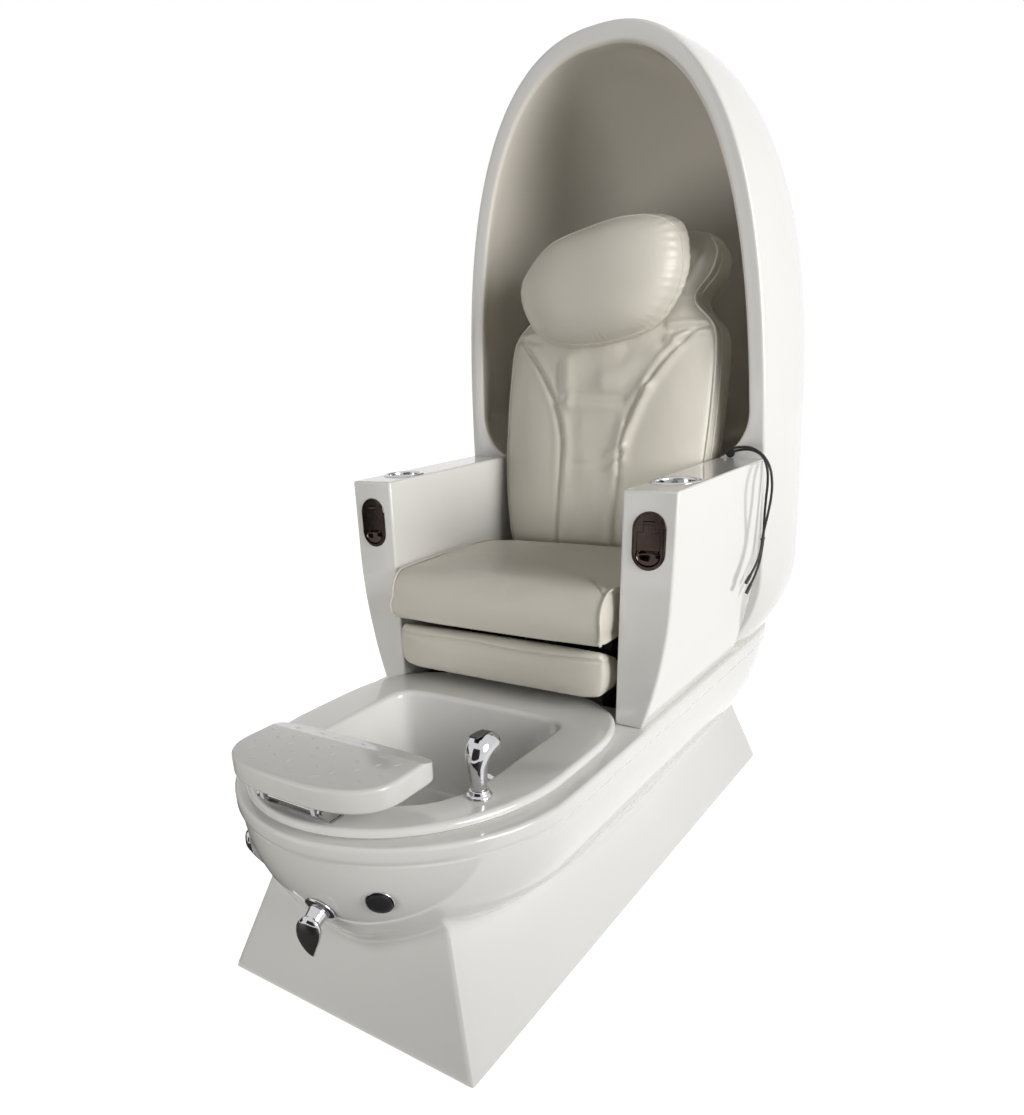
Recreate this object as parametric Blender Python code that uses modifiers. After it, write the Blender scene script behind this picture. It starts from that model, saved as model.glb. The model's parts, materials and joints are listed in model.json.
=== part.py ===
"""Pedicure chair with a foot basin, a sliding and reclining seat and an egg-shaped hood.

Metres, +Z up. The chair faces -Y, and +X is the sitter's left. The origin is on the floor, in the middle of
the pedestal's footprint. Every piece is modelled in world coordinates, and moving pieces hang on an empty
that stands on their joint's axis.
"""
import math

import bmesh
import bpy
from mathutils import Matrix, Vector

# Fits
GAP = 0.0003                    # between pieces that touch
RUN = 0.0004                    # round a pin or rod that turns or slides

# Pedestal and hull, one moulding
FLOOR_HALF_WIDTH = 0.292        # pedestal at the floor
FLOOR_HALF_LENGTH = 0.738
SIDE_LEAN = 0.37                # inward run of the pedestal's sides per metre of height
END_LEAN = 0.32                 # and of its front and rear
PEDESTAL_TOP = 0.26             # where the pedestal ends inside the hull
SHELL_WALL = 0.010
DECK_Z = 0.433                  # top of the hull's deck
DECK_THICK = 0.018
BAND_HEIGHT = 0.028             # upright band under the deck
BAND_STEP = 0.006               # how far the band stands out from the hull
BAND_ROUND = 0.008
HULL_HALF_WIDTH = 0.330
HULL_HALF_LENGTH = 0.805
HULL_NOSE = 0.330               # length of the rounded nose
HULL_STERN = 0.315
NOSE_POWER = 1.92               # 2 is round, more is squarer
NOSE_FILL = 1.5                 # how much squarer the nose grows as the hull narrows
NOSE_RUN = 6.5                  # how fast the nose lengthens as the hull narrows
NOSE_LIMIT = 0.25               # narrowing beyond which it lengthens no more
STERN_POWER = 2.5
HULL_DRAFT = 0.340              # depth of the ellipse that the hull's sides follow
HULL_BOTTOM = 0.120
END_SHRINK = 0.50               # how much the ends draw in, as a share of the sides
HULL_POINTS = 48

# Foot basin: its front follows the hull's nose, its rear stays in front of the seat
LIP_TOP = 0.455
LIP_HALF_WIDTH = 0.300
LIP_SETBACK = 0.014             # lip behind the hull's foremost point
LIP_FRONT = LIP_SETBACK - HULL_HALF_LENGTH
LIP_REAR = -0.090
LIP_REAR_CENTRE = -0.360
LIP_STRAIGHT = 0.080            # straight part of the lip's sides
LIP_NOSE_CENTRE = LIP_REAR_CENTRE - LIP_STRAIGHT
LIP_NOSE_POWER = 2.0
LIP_REAR_POWER = 3.0
LIP_ROUND = 0.010
BOWL_HALF_WIDTH = 0.195
FRONT_LEDGE = 0.101             # lip in front of the bowl, where the footrest stands
BOWL_FRONT = LIP_FRONT + FRONT_LEDGE
BOWL_REAR = -0.243
BOWL_STRAIGHT = 0.128           # straight part of the bowl's sides
BOWL_NOSE_CENTRE = LIP_REAR_CENTRE - BOWL_STRAIGHT
BOWL_NOSE_POWER = 2.4
BOWL_REAR_POWER = 6.0
BOWL_ROUND = 0.012
BOWL_FLOOR_Z = 0.250
BOWL_DRAW_IN = 0.040            # the floor is this much smaller all round
BOWL_FILLET = 0.025
BASIN_WALL = 0.006
BASIN_SLACK = 0.004             # round the bowl in the deck's hole
BASIN_POINTS = 44

# Drain
DRAIN_AHEAD = 0.040             # in front of the middle of the bowl's rear
DRAIN_Y = LIP_REAR_CENTRE - DRAIN_AHEAD
DRAIN_BORE = 0.020
DRAIN_FLANGE = 0.030
DRAIN_SPIGOT = 0.040

# Foot jet on the right wall of the bowl
JET_AHEAD = 0.020
JET_Y = LIP_REAR_CENTRE - JET_AHEAD
JET_Z = 0.345
JET_RADIUS = 0.040
JET_DEPTH = 0.018
JET_SLOTS = 5
IMPELLER_RADIUS = 0.027
MOTOR_RADIUS = 0.032
MOTOR_LENGTH = 0.045

# Fill spout and sprayer
SPOUT_AHEAD = 0.115
SPOUT_Y = LIP_REAR_CENTRE - SPOUT_AHEAD
SPOUT_Z = 0.425
SPOUT_RADIUS = 0.009
SPRAYER_X = 0.217
SPRAYER_AHEAD = 0.087           # in front of the middle of the bowl's nose
SPRAYER_Y = BOWL_NOSE_CENTRE - SPRAYER_AHEAD
SPRAYER_FLANGE = 0.021
SPRAYER_STEM = 0.0125
SPRAYER_RISE = 0.080            # from the holder to the middle of the head
SPRAYER_SWELL = 1.75            # head's radius as a multiple of the stem's
SPRAYER_HUMP = 0.004

# Valves and air switch on the hull's nose, by angle from straight ahead
FRONT_VALVE = (4.0, 0.280)      # degrees to the right, height
SIDE_VALVE = (-54.0, 0.287)
JET_SWITCH = (27.0, 0.327)
VALVE_FLANGE = 0.030
VALVE_BOSS = 0.019
VALVE_STEM = 0.008
VALVE_BODY = 0.018
VALVE_BODY_LENGTH = 0.045
VALVE_SOCKET = 0.016            # depth of the stem in the body
VALVE_FACE = 0.006              # flange's face and lever's cap above the hull
VALVE_CAP = 0.026
LEVER_LENGTH = 0.088
LEVER_WIDTH = 0.050
BUTTON_RADIUS = 0.0185
BUTTON_BEZEL = 0.0255
BUTTON_TRAVEL = 0.004

# Footrest
PAD_HALF_WIDTH = 0.169
PAD_OVERHANG = 0.009            # pad in front of the lip
PAD_FRONT = LIP_FRONT - PAD_OVERHANG
PAD_NOSE = 0.100                # length of its rounded front
PAD_STRAIGHT = 0.045
PAD_LENGTH = 0.192
PAD_NOSE_CENTRE = PAD_FRONT + PAD_NOSE
PAD_REAR_CENTRE = PAD_NOSE_CENTRE + PAD_STRAIGHT
PAD_REAR = PAD_FRONT + PAD_LENGTH
PAD_NOSE_POWER = 2.25
PAD_REAR_POWER = 4.0
PAD_BOTTOM = 0.490
PAD_TOP = 0.533
PAD_CHAMFER_WIDTH = 0.047
PAD_CHAMFER_DROP = 0.013
PAD_ROUND = 0.014               # upper edge
PAD_HEEL = 0.016                # lower edge
FOOT_INSET = 0.018              # hinge behind the pad's front
FOOT_AXIS_Y = PAD_FRONT + FOOT_INSET
FOOT_AXIS_Z = 0.481
FOOT_PIN = 0.004
FOOT_EAR_X = 0.066
FOOT_PLATE_BEHIND = 0.014       # bracket's plate behind the hinge
FOOT_PLATE_LENGTH = 0.030
FOOT_PLATE_THICK = 0.003

# Hood
POD_TOP = 1.640
POD_WIDEST_Z = 0.620
RIM_HALF_WIDTH = 0.372          # at the widest height
RIM_TAPER = 0.130               # share lost on the way up before the crown closes
CROWN_POWER = 4.0
CROWN_ROOT = 0.42
RIM_Y = 0.300                   # rim plane at the armrests' top
RIM_LEAN = -0.111
RIM_BAND = 0.033
RIM_INSET = 0.036
RIM_ROUND = 0.008
POD_BULGE = 1.058               # the egg is wider behind its rim
POD_BULGE_DEPTH = 0.110
POD_BACK = 0.805
POD_BACK_Z = 0.950
POD_FOOT_HALF_WIDTH = 0.316
POD_FOOT_BACK = 0.775
POD_POWER = 2.5
POD_WALL = 0.024
SHOULDER_Z = 0.860              # where the opening starts to widen above the armrests
SHOULDER_RISE = 0.180
SHOULDER_GAIN = 0.044

# Armrests
ARM_INNER = 0.260
ARM_OUTER = 0.361
ARM_FOOT_OUTER = 0.316
ARM_CURVE_Z = 0.720
ARM_FRONT = -0.165
ARM_TOP = 0.874
ARM_ROUND = 0.004
CUP_X = 0.310
CUP_Y = -0.053
CUP_FLANGE = 0.045
CUP_BORE = 0.036
CUP_DEPTH = 0.058
CUP_WALL = 0.0015

# Bag hooks
HOOK_X = 0.312
HOOK_Z = 0.789
HOOK_PLATE = (0.062, 0.102)     # width, height
HOOK_PLATE_PROUD = 0.003
HOOK_BODY = (0.050, 0.090)
HOOK_BODY_DEPTH = 0.016
HOOK_STEM_WIDTH = 0.020
HOOK_FLAP_WIDTH = 0.042
HOOK_TOP = 0.034                # hinge above the plate's middle
HOOK_SHOULDER = 0.015
HOOK_FOOT = -0.016
HOOK_THICK = 0.006
HOOK_PIN = 0.0018
HOOK_SLACK = 0.0006
SCOOP_RADIUS = 0.013

# Seat slide
RAIL_X = 0.170
RAIL_Y = (-0.085, 0.340)
RAIL_WIDTH = 0.050
RAIL_SLOT_Z = 0.462             # floor of the rail's slot
RAIL_TOP = 0.486
RAIL_LIP = 0.006
SLOT_WIDTH = 0.036
MOUTH_WIDTH = 0.020
RUNNER_Y = (-0.080, 0.330)
ACTUATOR_Z = 0.520
ACTUATOR_RADIUS = 0.018
ACTUATOR_Y = (0.020, 0.240)
ROD_RADIUS = 0.008
ROD_Y = (-0.090, 0.215)

# Seat
BOARD_Z = (0.565, 0.5947)
BOARD_HALF_WIDTH = 0.225
BOARD_Y = (-0.115, 0.378)
CUSHION_HALF_WIDTH = 0.247
CUSHION_Y = (-0.210, 0.184)
CUSHION_Z = (0.595, 0.684)
CUSHION_CROWN = 0.016
CUSHION_ROLL = 0.045            # radius of the front, where the top rolls down
APRON_HALF_WIDTH = 0.245
APRON_Z = (0.483, 0.583)
APRON_FRONT = -0.199

# Backrest, in its own plane: v runs up it and w forward of the hinge
BACK_HINGE_Y = 0.360
BACK_HINGE_Z = 0.625
BACK_LEAN = math.radians(8.0)
BACK_PANEL_V = (0.030, 0.620)
BACK_PANEL_HALF_WIDTH = 0.176
BACK_PANEL_THICK = 0.015
BACK_V = (-0.014, 0.680)
BACK_HALF_WIDTH = 0.245
BACK_WAIST = 0.20               # how fast it narrows towards the seat
BACK_SHOULDERS = 0.09           # and towards the head
BACK_NOTCH = 0.048              # depth of the notch under the ears
BACK_NOTCH_AT = 0.805           # its place, as a share of the height
BACK_NOTCH_WIDTH = 0.055
BACK_EAR = 0.030                # how much the ears draw in at the top
BACK_SEAM = 0.072               # half-distance between the seams where they run straight
BACK_SEAM_FLARE = 2.2           # how fast they part above
BACK_SEAM_V = 0.240
BACK_DEPTH = 0.128
BACK_CROWN = 0.022
HINGE_ROD = 0.006
HINGE_EAR_X = 0.185
HINGE_KNUCKLE_X = 0.160
PILLOW_V = 0.588
PILLOW_HALF_WIDTH = 0.182
PILLOW_HALF_HEIGHT = 0.122
PILLOW_DEPTH = 0.090
PILLOW_TILT = math.radians(-5.0)

# Recline actuator
ANCHOR_Y = 0.520
ANCHOR_Z = 0.545
LUG_V = 0.280
LUG_W = -0.030
LUG_X = 0.016
LUG_THICK = 0.006
LUG_ROOT = 0.022                # half-height of the lugs where they join the panel
LINK_PIN = 0.005
LINK_PLAY = 0.0013              # in the upper eye, the pivot where the linkage is opened
LINK_EYE_WALL = 0.006
RECLINE_BODY = 0.016
RECLINE_TUBE = (0.022, 0.205)   # ends of the tube, from the anchor
RECLINE_BORE_END = 0.060
RECLINE_NECK = 0.007
RECLINE_ROD = 0.007
RECLINE_ROD_START = 0.110       # lower end of the rod in the tube
RECLINE_EYE_WIDTH = 0.016
ROD_EYE_WIDTH = 0.020
CHEEK_X = 0.0125
CHEEK_THICK = 0.006
CHEEK_REACH = 0.080             # along the seat board
CHEEK_DROP = 0.024              # clears the slide's actuator

# Steel frame in the pedestal's foot
FRAME_BAR = 0.045
FRAME_HEIGHT = 0.030
CROSS_BAR_Y = (0.000, 0.360)

# Leads over the right armrest
CABLE_RADIUS = 0.0025
CABLE_SPACING = 0.0070
GROMMET_X = 0.290
GROMMET_Z = 0.8836
GROMMET_RADIUS = 0.009
GROMMET_PROUD = 0.004
UPPER_ROUTE = (
    (0.2865, 0.2942, 0.8836), (0.2867, 0.2800, 0.8855), (0.2950, 0.2695, 0.8930), (0.3150, 0.2660, 0.8985),
    (0.3400, 0.2670, 0.8975), (0.3630, 0.2710, 0.8840), (0.3790, 0.2750, 0.8600), (0.3860, 0.2780, 0.8300),
    (0.3870, 0.2790, 0.8000), (0.3840, 0.2795, 0.7650), (0.3800, 0.2795, 0.7350), (0.3780, 0.2795, 0.7140),
    (0.3780, 0.2785, 0.6970), (0.3775, 0.2700, 0.6780), (0.3755, 0.2560, 0.6610), (0.3730, 0.2420, 0.6480),
)
LOWER_ROUTE = (
    (0.2935, 0.2942, 0.8836), (0.2940, 0.2825, 0.8842), (0.3030, 0.2765, 0.8890), (0.3220, 0.2765, 0.8930),
    (0.3430, 0.2785, 0.8910), (0.3610, 0.2820, 0.8790), (0.3715, 0.2850, 0.8560), (0.3750, 0.2865, 0.8280),
    (0.3750, 0.2870, 0.7980), (0.3755, 0.2870, 0.7650), (0.3770, 0.2867, 0.7350), (0.3780, 0.2865, 0.7140),
    (0.3780, 0.2860, 0.6960), (0.3775, 0.2790, 0.6660), (0.3755, 0.2650, 0.6430), (0.3730, 0.2490, 0.6260),
)
TIE_POINT = 11                  # place along both routes where they are tied
TIE_HEIGHT = 0.003
TIE_WALL = 0.0012
CONNECTOR_RADIUS = 0.0038
CONNECTOR_LENGTH = 0.024

AXIS_X = Vector((1.0, 0.0, 0.0))
AXIS_Y = Vector((0.0, 1.0, 0.0))
SIDEWAYS = Matrix(((0, 0, 1, 0), (0, 1, 0, 0), (-1, 0, 0, 0), (0, 0, 0, 1)))    # stands an outline on edge


# Scene, collections and finishes

for old in list(bpy.data.objects):
    bpy.data.objects.remove(old, do_unlink=True)

PARTS = bpy.data.collections.new("pedicure_chair")
CUTTERS = bpy.data.collections.new("pedicure_chair_cutters")
bpy.context.scene.collection.children.link(PARTS)
bpy.context.scene.collection.children.link(CUTTERS)


def finish(name, colour, roughness, metallic=0.0):
    material = bpy.data.materials.new(name)
    material.use_nodes = True
    shader = material.node_tree.nodes["Principled BSDF"]
    shader.inputs["Base Color"].default_value = (*colour, 1.0)
    shader.inputs["Roughness"].default_value = roughness
    shader.inputs["Metallic"].default_value = metallic
    return material


GELCOAT = finish("white_gelcoat", (0.80, 0.79, 0.77), 0.12)
LEATHER = finish("cream_leather", (0.74, 0.71, 0.63), 0.45)
CHROME = finish("chrome", (0.75, 0.76, 0.78), 0.08, 1.0)
NICKEL = finish("dark_nickel", (0.20, 0.17, 0.15), 0.15, 1.0)
STEEL = finish("painted_steel", (0.10, 0.10, 0.11), 0.50, 0.6)
ZINC = finish("zinc_steel", (0.55, 0.56, 0.58), 0.35, 1.0)
BRASS = finish("valve_brass", (0.72, 0.55, 0.25), 0.30, 1.0)
WHITE_PLASTIC = finish("white_plastic", (0.82, 0.82, 0.80), 0.25)
BLACK_PLASTIC = finish("black_plastic", (0.03, 0.03, 0.03), 0.35)
BLACK_RUBBER = finish("black_rubber", (0.02, 0.02, 0.02), 0.55)
PLYWOOD = finish("plywood", (0.58, 0.43, 0.27), 0.60)


# Building blocks

def add_object(name, data, material, matrix=None):
    obj = bpy.data.objects.new(name, data)
    PARTS.objects.link(obj)
    if matrix is not None:
        obj.matrix_world = matrix
    data.materials.append(material)
    return obj


def mesh_object(name, bm, material, matrix=None):
    data = bpy.data.meshes.new(name)
    bm.to_mesh(data)
    bm.free()
    data.shade_smooth()
    data.set_sharp_from_angle(angle=math.radians(35.0))
    return add_object(name, data, material, matrix)


def box(name, low, high, material):
    bm = bmesh.new()
    bmesh.ops.create_cube(bm, size=1.0)
    low = Vector(low)
    high = Vector(high)
    size = high - low
    bmesh.ops.scale(bm, vec=size, verts=bm.verts)
    bmesh.ops.translate(bm, vec=(low + high) / 2, verts=bm.verts)
    return mesh_object(name, bm, material)


def frame_at(point, z_axis, x_hint):
    """A local frame whose Z axis is given and whose X axis is as near the hint as it can be."""
    z = Vector(z_axis).normalized()
    y = z.cross(Vector(x_hint)).normalized()
    x = y.cross(z)
    matrix = Matrix((x, y, z)).transposed().to_4x4()
    matrix.translation = Vector(point)
    return matrix


def rod(name, start, end, radius, material, segments=16):
    """A plain round bar between two points."""
    start = Vector(start)
    end = Vector(end)
    axis = end - start
    hint = AXIS_X if abs(axis.normalized().x) < 0.9 else AXIS_Y
    bm = bmesh.new()
    bmesh.ops.create_cone(
        bm, cap_ends=True, segments=segments, radius1=radius, radius2=radius, depth=axis.length)
    return mesh_object(name, bm, material, frame_at((start + end) / 2, axis, hint))


def turned(name, profile, material, matrix, steps=24):
    """A turned piece: (radius, height) pairs down its outer side, closed on the axis or on themselves."""
    data = bpy.data.meshes.new(name)
    verts = [(radius, 0.0, height) for radius, height in profile]
    edges = [(i, i + 1) for i in range(len(verts) - 1) if profile[i][0] > 0.0 or profile[i + 1][0] > 0.0]
    if profile[0][0] > 0.0:
        edges.append((len(verts) - 1, 0))
    data.from_pydata(verts, edges, [])
    obj = add_object(name, data, material, matrix)
    screw = obj.modifiers.new("turn", "SCREW")
    screw.steps = steps
    screw.render_steps = steps
    screw.use_merge_vertices = True
    screw.merge_threshold = 0.00005
    return obj


def freeze(obj):
    """Replace an object by the mesh it evaluates to, with loose caps welded."""
    bpy.context.view_layer.update()
    evaluated = obj.evaluated_get(bpy.context.evaluated_depsgraph_get())
    data = bpy.data.meshes.new_from_object(evaluated)
    matrix = obj.matrix_world.copy()
    name = obj.name
    material = obj.data.materials[0]
    bpy.data.objects.remove(obj, do_unlink=True)
    bm = bmesh.new()
    bm.from_mesh(data)
    bmesh.ops.remove_doubles(bm, verts=bm.verts, dist=0.00001)
    bmesh.ops.recalc_face_normals(bm, faces=bm.faces)
    return mesh_object(name, bm, material, matrix)


def plate(name, outlines, thickness, material, matrix):
    """A flat outline, with any holes, extruded both ways from its own XY plane."""
    curve = bpy.data.curves.new(name, "CURVE")
    curve.dimensions = "2D"
    curve.fill_mode = "BOTH"
    curve.extrude = thickness / 2
    for outline in outlines:
        spline = curve.splines.new("POLY")
        spline.points.add(len(outline) - 1)
        for point, (x, y) in zip(spline.points, outline):
            point.co = (x, y, 0.0, 1.0)
        spline.use_cyclic_u = True
    return freeze(add_object(name, curve, material, matrix))


def arc(radius, start, end, count, centre=(0.0, 0.0)):
    """Points on an arc, both ends included, for angles in radians."""
    points = []
    for i in range(count):
        angle = start + (end - start) * i / (count - 1)
        points.append((centre[0] + radius * math.cos(angle), centre[1] + radius * math.sin(angle)))
    return points


def circle(radius, count=20):
    return arc(radius, 0.0, 2 * math.pi * (1 - 1 / count), count)


def rectangle(low_x, low_y, high_x, high_y):
    return [(low_x, low_y), (high_x, low_y), (high_x, high_y), (low_x, high_y)]


def stadium(width, height, count=16):
    """An upright outline with round ends."""
    radius = width / 2
    straight = height / 2 - radius
    half = count // 2 + 1
    top = arc(radius, 0.0, math.pi, half, (0.0, straight))
    return top + arc(radius, math.pi, 2 * math.pi, half, (0.0, -straight))


def loft(name, rings, material):
    """A solid skinned over rings of equal length, with its two ends capped."""
    bm = bmesh.new()
    layers = [[bm.verts.new(point) for point in ring] for ring in rings]
    count = len(rings[0])
    for low, high in zip(layers, layers[1:]):
        for i in range(count):
            j = (i + 1) % count
            bm.faces.new((low[i], low[j], high[j], high[i]))
    bm.faces.new(list(reversed(layers[0])))
    bm.faces.new(layers[-1])
    return mesh_object(name, bm, material)


def power(value, exponent):
    return math.copysign(abs(value) ** exponent, value)


def oval(half_width, nose, nose_centre, stern_centre, stern, nose_power, stern_power, z, count=HULL_POINTS):
    """A level ring, counter-clockwise from above: straight sides between two rounded ends."""
    half = count // 2
    ring = []
    for i in range(half):
        angle = math.pi * i / (half - 1)
        x = half_width * power(math.cos(angle), 2 / stern_power)
        y = stern_centre + (stern - stern_centre) * power(math.sin(angle), 2 / stern_power)
        ring.append(Vector((x, y, z)))
    for i in range(half):
        angle = math.pi * i / (half - 1)
        x = -half_width * power(math.cos(angle), 2 / nose_power)
        y = nose_centre - (nose_centre - nose) * power(math.sin(angle), 2 / nose_power)
        ring.append(Vector((x, y, z)))
    return ring


def bevel(obj, width, segments=2, angle=40.0):
    modifier = obj.modifiers.new("round", "BEVEL")
    modifier.width = width
    modifier.segments = segments
    modifier.limit_method = "ANGLE"
    modifier.angle_limit = math.radians(angle)
    return obj


def combine(obj, other, operation):
    """Cut, join or keep the overlap with another object, which becomes a hidden cutter."""
    modifier = obj.modifiers.new(other.name, "BOOLEAN")
    modifier.operation = operation
    modifier.object = other
    modifier.solver = "EXACT"
    PARTS.objects.unlink(other)
    CUTTERS.objects.link(other)
    other.hide_render = True
    other.display_type = "WIRE"
    return obj


def cut(obj, other):
    return combine(obj, other, "DIFFERENCE")


def join(obj, other):
    return combine(obj, other, "UNION")


def pivot(name, point):
    """An empty on a joint's axis."""
    empty = bpy.data.objects.new(name, None)
    empty.empty_display_size = 0.03
    empty.location = point
    PARTS.objects.link(empty)
    bpy.context.view_layer.update()
    return empty


def hang(empty, *objects):
    """Parent pieces to a joint's empty without moving them."""
    bpy.context.view_layer.update()
    for obj in objects:
        world = obj.matrix_world.copy()
        obj.parent = empty
        obj.matrix_parent_inverse = empty.matrix_world.inverted()
        obj.matrix_world = world


# Hull and pedestal

BAND_BOTTOM = DECK_Z - BAND_HEIGHT
BOWL_WALL_TOP = LIP_TOP - BOWL_ROUND
BOWL_WALL_LOW = BOWL_FLOOR_Z + BOWL_FILLET
BOWL_SLOPE = BOWL_DRAW_IN / (BOWL_WALL_TOP - BOWL_WALL_LOW)


def hull_scale(z):
    """Shares of the band's width and length that the hull keeps at a height."""
    depth = min(max(BAND_BOTTOM - z, 0.0) / HULL_DRAFT, 1.0)
    wide = math.sqrt(1 - depth ** 2)
    return wide, 1 - END_SHRINK * (1 - wide)


def hull_shape(z, inset):
    """Half-width, half-length, nose centre, stern centre and nose power of the hull at a height."""
    wide, long = hull_scale(z)
    narrowing = 1 - wide
    half_width = HULL_HALF_WIDTH * wide - inset
    length = HULL_HALF_LENGTH * long - inset
    nose_centre = -(HULL_HALF_LENGTH - HULL_NOSE) * long + NOSE_RUN * min(narrowing, NOSE_LIMIT) ** 2
    stern_centre = (HULL_HALF_LENGTH - HULL_STERN) * long
    return half_width, length, nose_centre, stern_centre, NOSE_POWER + NOSE_FILL * narrowing


def hull_ring(z, level, inset):
    """The hull's outline at the shape it has at one height, drawn at another level."""
    half_width, length, nose_centre, stern_centre, nose_power = hull_shape(z, inset)
    return oval(half_width, -length, nose_centre, stern_centre, length, nose_power, STERN_POWER, level)


def hull_heights(low, count):
    return [low + (BAND_BOTTOM - low) * i / count for i in range(count + 1)]


def pedestal(name, inset, low, high):
    """A flared four-sided block between two heights."""
    bm = bmesh.new()
    bmesh.ops.create_cube(bm, size=2.0)
    for vert in bm.verts:
        z = high if vert.co.z > 0 else low
        x = FLOOR_HALF_WIDTH - SIDE_LEAN * z - inset
        y = FLOOR_HALF_LENGTH - END_LEAN * z - inset
        vert.co = (math.copysign(x, vert.co.x), math.copysign(y, vert.co.y), z)
    return mesh_object(name, bm, GELCOAT)


def bowl_ring(inset, z):
    """The bowl's mouth outline, drawn in by an inset, at a height."""
    return oval(
        BOWL_HALF_WIDTH - inset, BOWL_FRONT + inset, BOWL_NOSE_CENTRE, LIP_REAR_CENTRE, BOWL_REAR - inset,
        BOWL_NOSE_POWER, BOWL_REAR_POWER, z, BASIN_POINTS)


def lip_ring(inset, z):
    return oval(
        LIP_HALF_WIDTH - inset, LIP_FRONT + inset, LIP_NOSE_CENTRE, LIP_REAR_CENTRE, LIP_REAR - inset,
        LIP_NOSE_POWER, LIP_REAR_POWER, z, BASIN_POINTS)


def nose_point(degrees, z):
    """A point on the hull's nose, by angle from straight ahead and height."""
    half_width, length, nose_centre, _, nose_power = hull_shape(z, BAND_STEP)
    angle = math.radians(degrees)
    x = half_width * power(math.sin(angle), 2 / nose_power)
    y = nose_centre - (length + nose_centre) * power(math.cos(angle), 2 / nose_power)
    return Vector((x, y, z))


def nose_frame(degrees, z):
    """A frame on the hull's nose: Z outward, X level."""
    step = 0.002
    across = nose_point(degrees + 0.5, z) - nose_point(degrees - 0.5, z)
    upward = nose_point(degrees, z + step) - nose_point(degrees, z - step)
    return frame_at(nose_point(degrees, z), across.cross(upward), across)


SPOT_FACE = SHELL_WALL - 0.001      # depth from the hull's face to the flat seats on its inside
SEAT_WALL = SPOT_FACE + GAP


def make_base_shell():
    rings = [hull_ring(z, z, BAND_STEP) for z in hull_heights(HULL_BOTTOM, 6)]
    rings.append(hull_ring(BAND_BOTTOM, BAND_BOTTOM + 0.002, 0.0))
    rings.append(hull_ring(BAND_BOTTOM, DECK_Z - BAND_ROUND, 0.0))
    rings.append(hull_ring(BAND_BOTTOM, DECK_Z - BAND_ROUND * 0.3, BAND_ROUND * 0.3))
    rings.append(hull_ring(BAND_BOTTOM, DECK_Z, BAND_ROUND))
    shell = loft("base_shell", rings, GELCOAT)
    join(shell, pedestal("pedestal_body", 0.0, 0.0, PEDESTAL_TOP))
    inside = BAND_STEP + SHELL_WALL
    rings = [hull_ring(z, z, inside) for z in hull_heights(HULL_BOTTOM + SHELL_WALL, 4)]
    rings.append(hull_ring(BAND_BOTTOM, DECK_Z - DECK_THICK, inside))
    cut(shell, loft("hull_hollow", rings, GELCOAT))
    cut(shell, pedestal("pedestal_hollow", SHELL_WALL, -SHELL_WALL, PEDESTAL_TOP - 4 * SHELL_WALL))
    slack = -BASIN_WALL - BASIN_SLACK
    hole = [bowl_ring(slack, DECK_Z - 2 * DECK_THICK), bowl_ring(slack, DECK_Z + DECK_THICK)]
    cut(shell, loft("bowl_hole", hole, GELCOAT))
    for place, hole, seat in (
            (FRONT_VALVE, VALVE_STEM, VALVE_BODY), (SIDE_VALVE, VALVE_STEM, VALVE_BODY),
            (JET_SWITCH, BUTTON_RADIUS, BUTTON_BEZEL)):
        matrix = nose_frame(*place)
        outward = matrix.col[2].to_3d()
        centre = matrix.translation
        deep = centre - outward * 6 * SHELL_WALL
        cut(shell, rod("nose_hole", deep, centre + outward * SHELL_WALL, hole + RUN, GELCOAT, 20))
        cut(shell, rod("nose_seat", deep, centre - outward * SPOT_FACE, seat + 0.002, GELCOAT, 20))
    return shell


# Foot basin, drain, jet, spout and sprayer

def make_basin():
    low = DECK_Z + GAP
    rings = [
        bowl_ring(BOWL_DRAW_IN + BOWL_FILLET - BASIN_WALL, BOWL_FLOOR_Z - BASIN_WALL),
        bowl_ring(BOWL_DRAW_IN - BASIN_WALL, BOWL_WALL_LOW),
        bowl_ring(BOWL_SLOPE * (BOWL_WALL_TOP - low) - BASIN_WALL, low),
        lip_ring(0.0, low),
        lip_ring(0.0, LIP_TOP - LIP_ROUND),
        lip_ring(LIP_ROUND * 0.3, LIP_TOP - LIP_ROUND * 0.3),
        lip_ring(LIP_ROUND, LIP_TOP),
        bowl_ring(-BOWL_ROUND, LIP_TOP),
        bowl_ring(-BOWL_ROUND * 0.3, LIP_TOP - BOWL_ROUND * 0.3),
        bowl_ring(0.0, BOWL_WALL_TOP),
        bowl_ring(BOWL_DRAW_IN, BOWL_WALL_LOW),
        bowl_ring(BOWL_DRAW_IN + BOWL_FILLET * 0.3, BOWL_FLOOR_Z + BOWL_FILLET * 0.3),
        bowl_ring(BOWL_DRAW_IN + BOWL_FILLET, BOWL_FLOOR_Z),
    ]
    basin = loft("basin", rings, GELCOAT)
    low = (0.0, DRAIN_Y, BOWL_FLOOR_Z - 2 * BASIN_WALL)
    high = (0.0, DRAIN_Y, BOWL_FLOOR_Z + BASIN_WALL)
    return cut(basin, rod("drain_hole", low, high, DRAIN_BORE + RUN, GELCOAT, 24))


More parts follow.
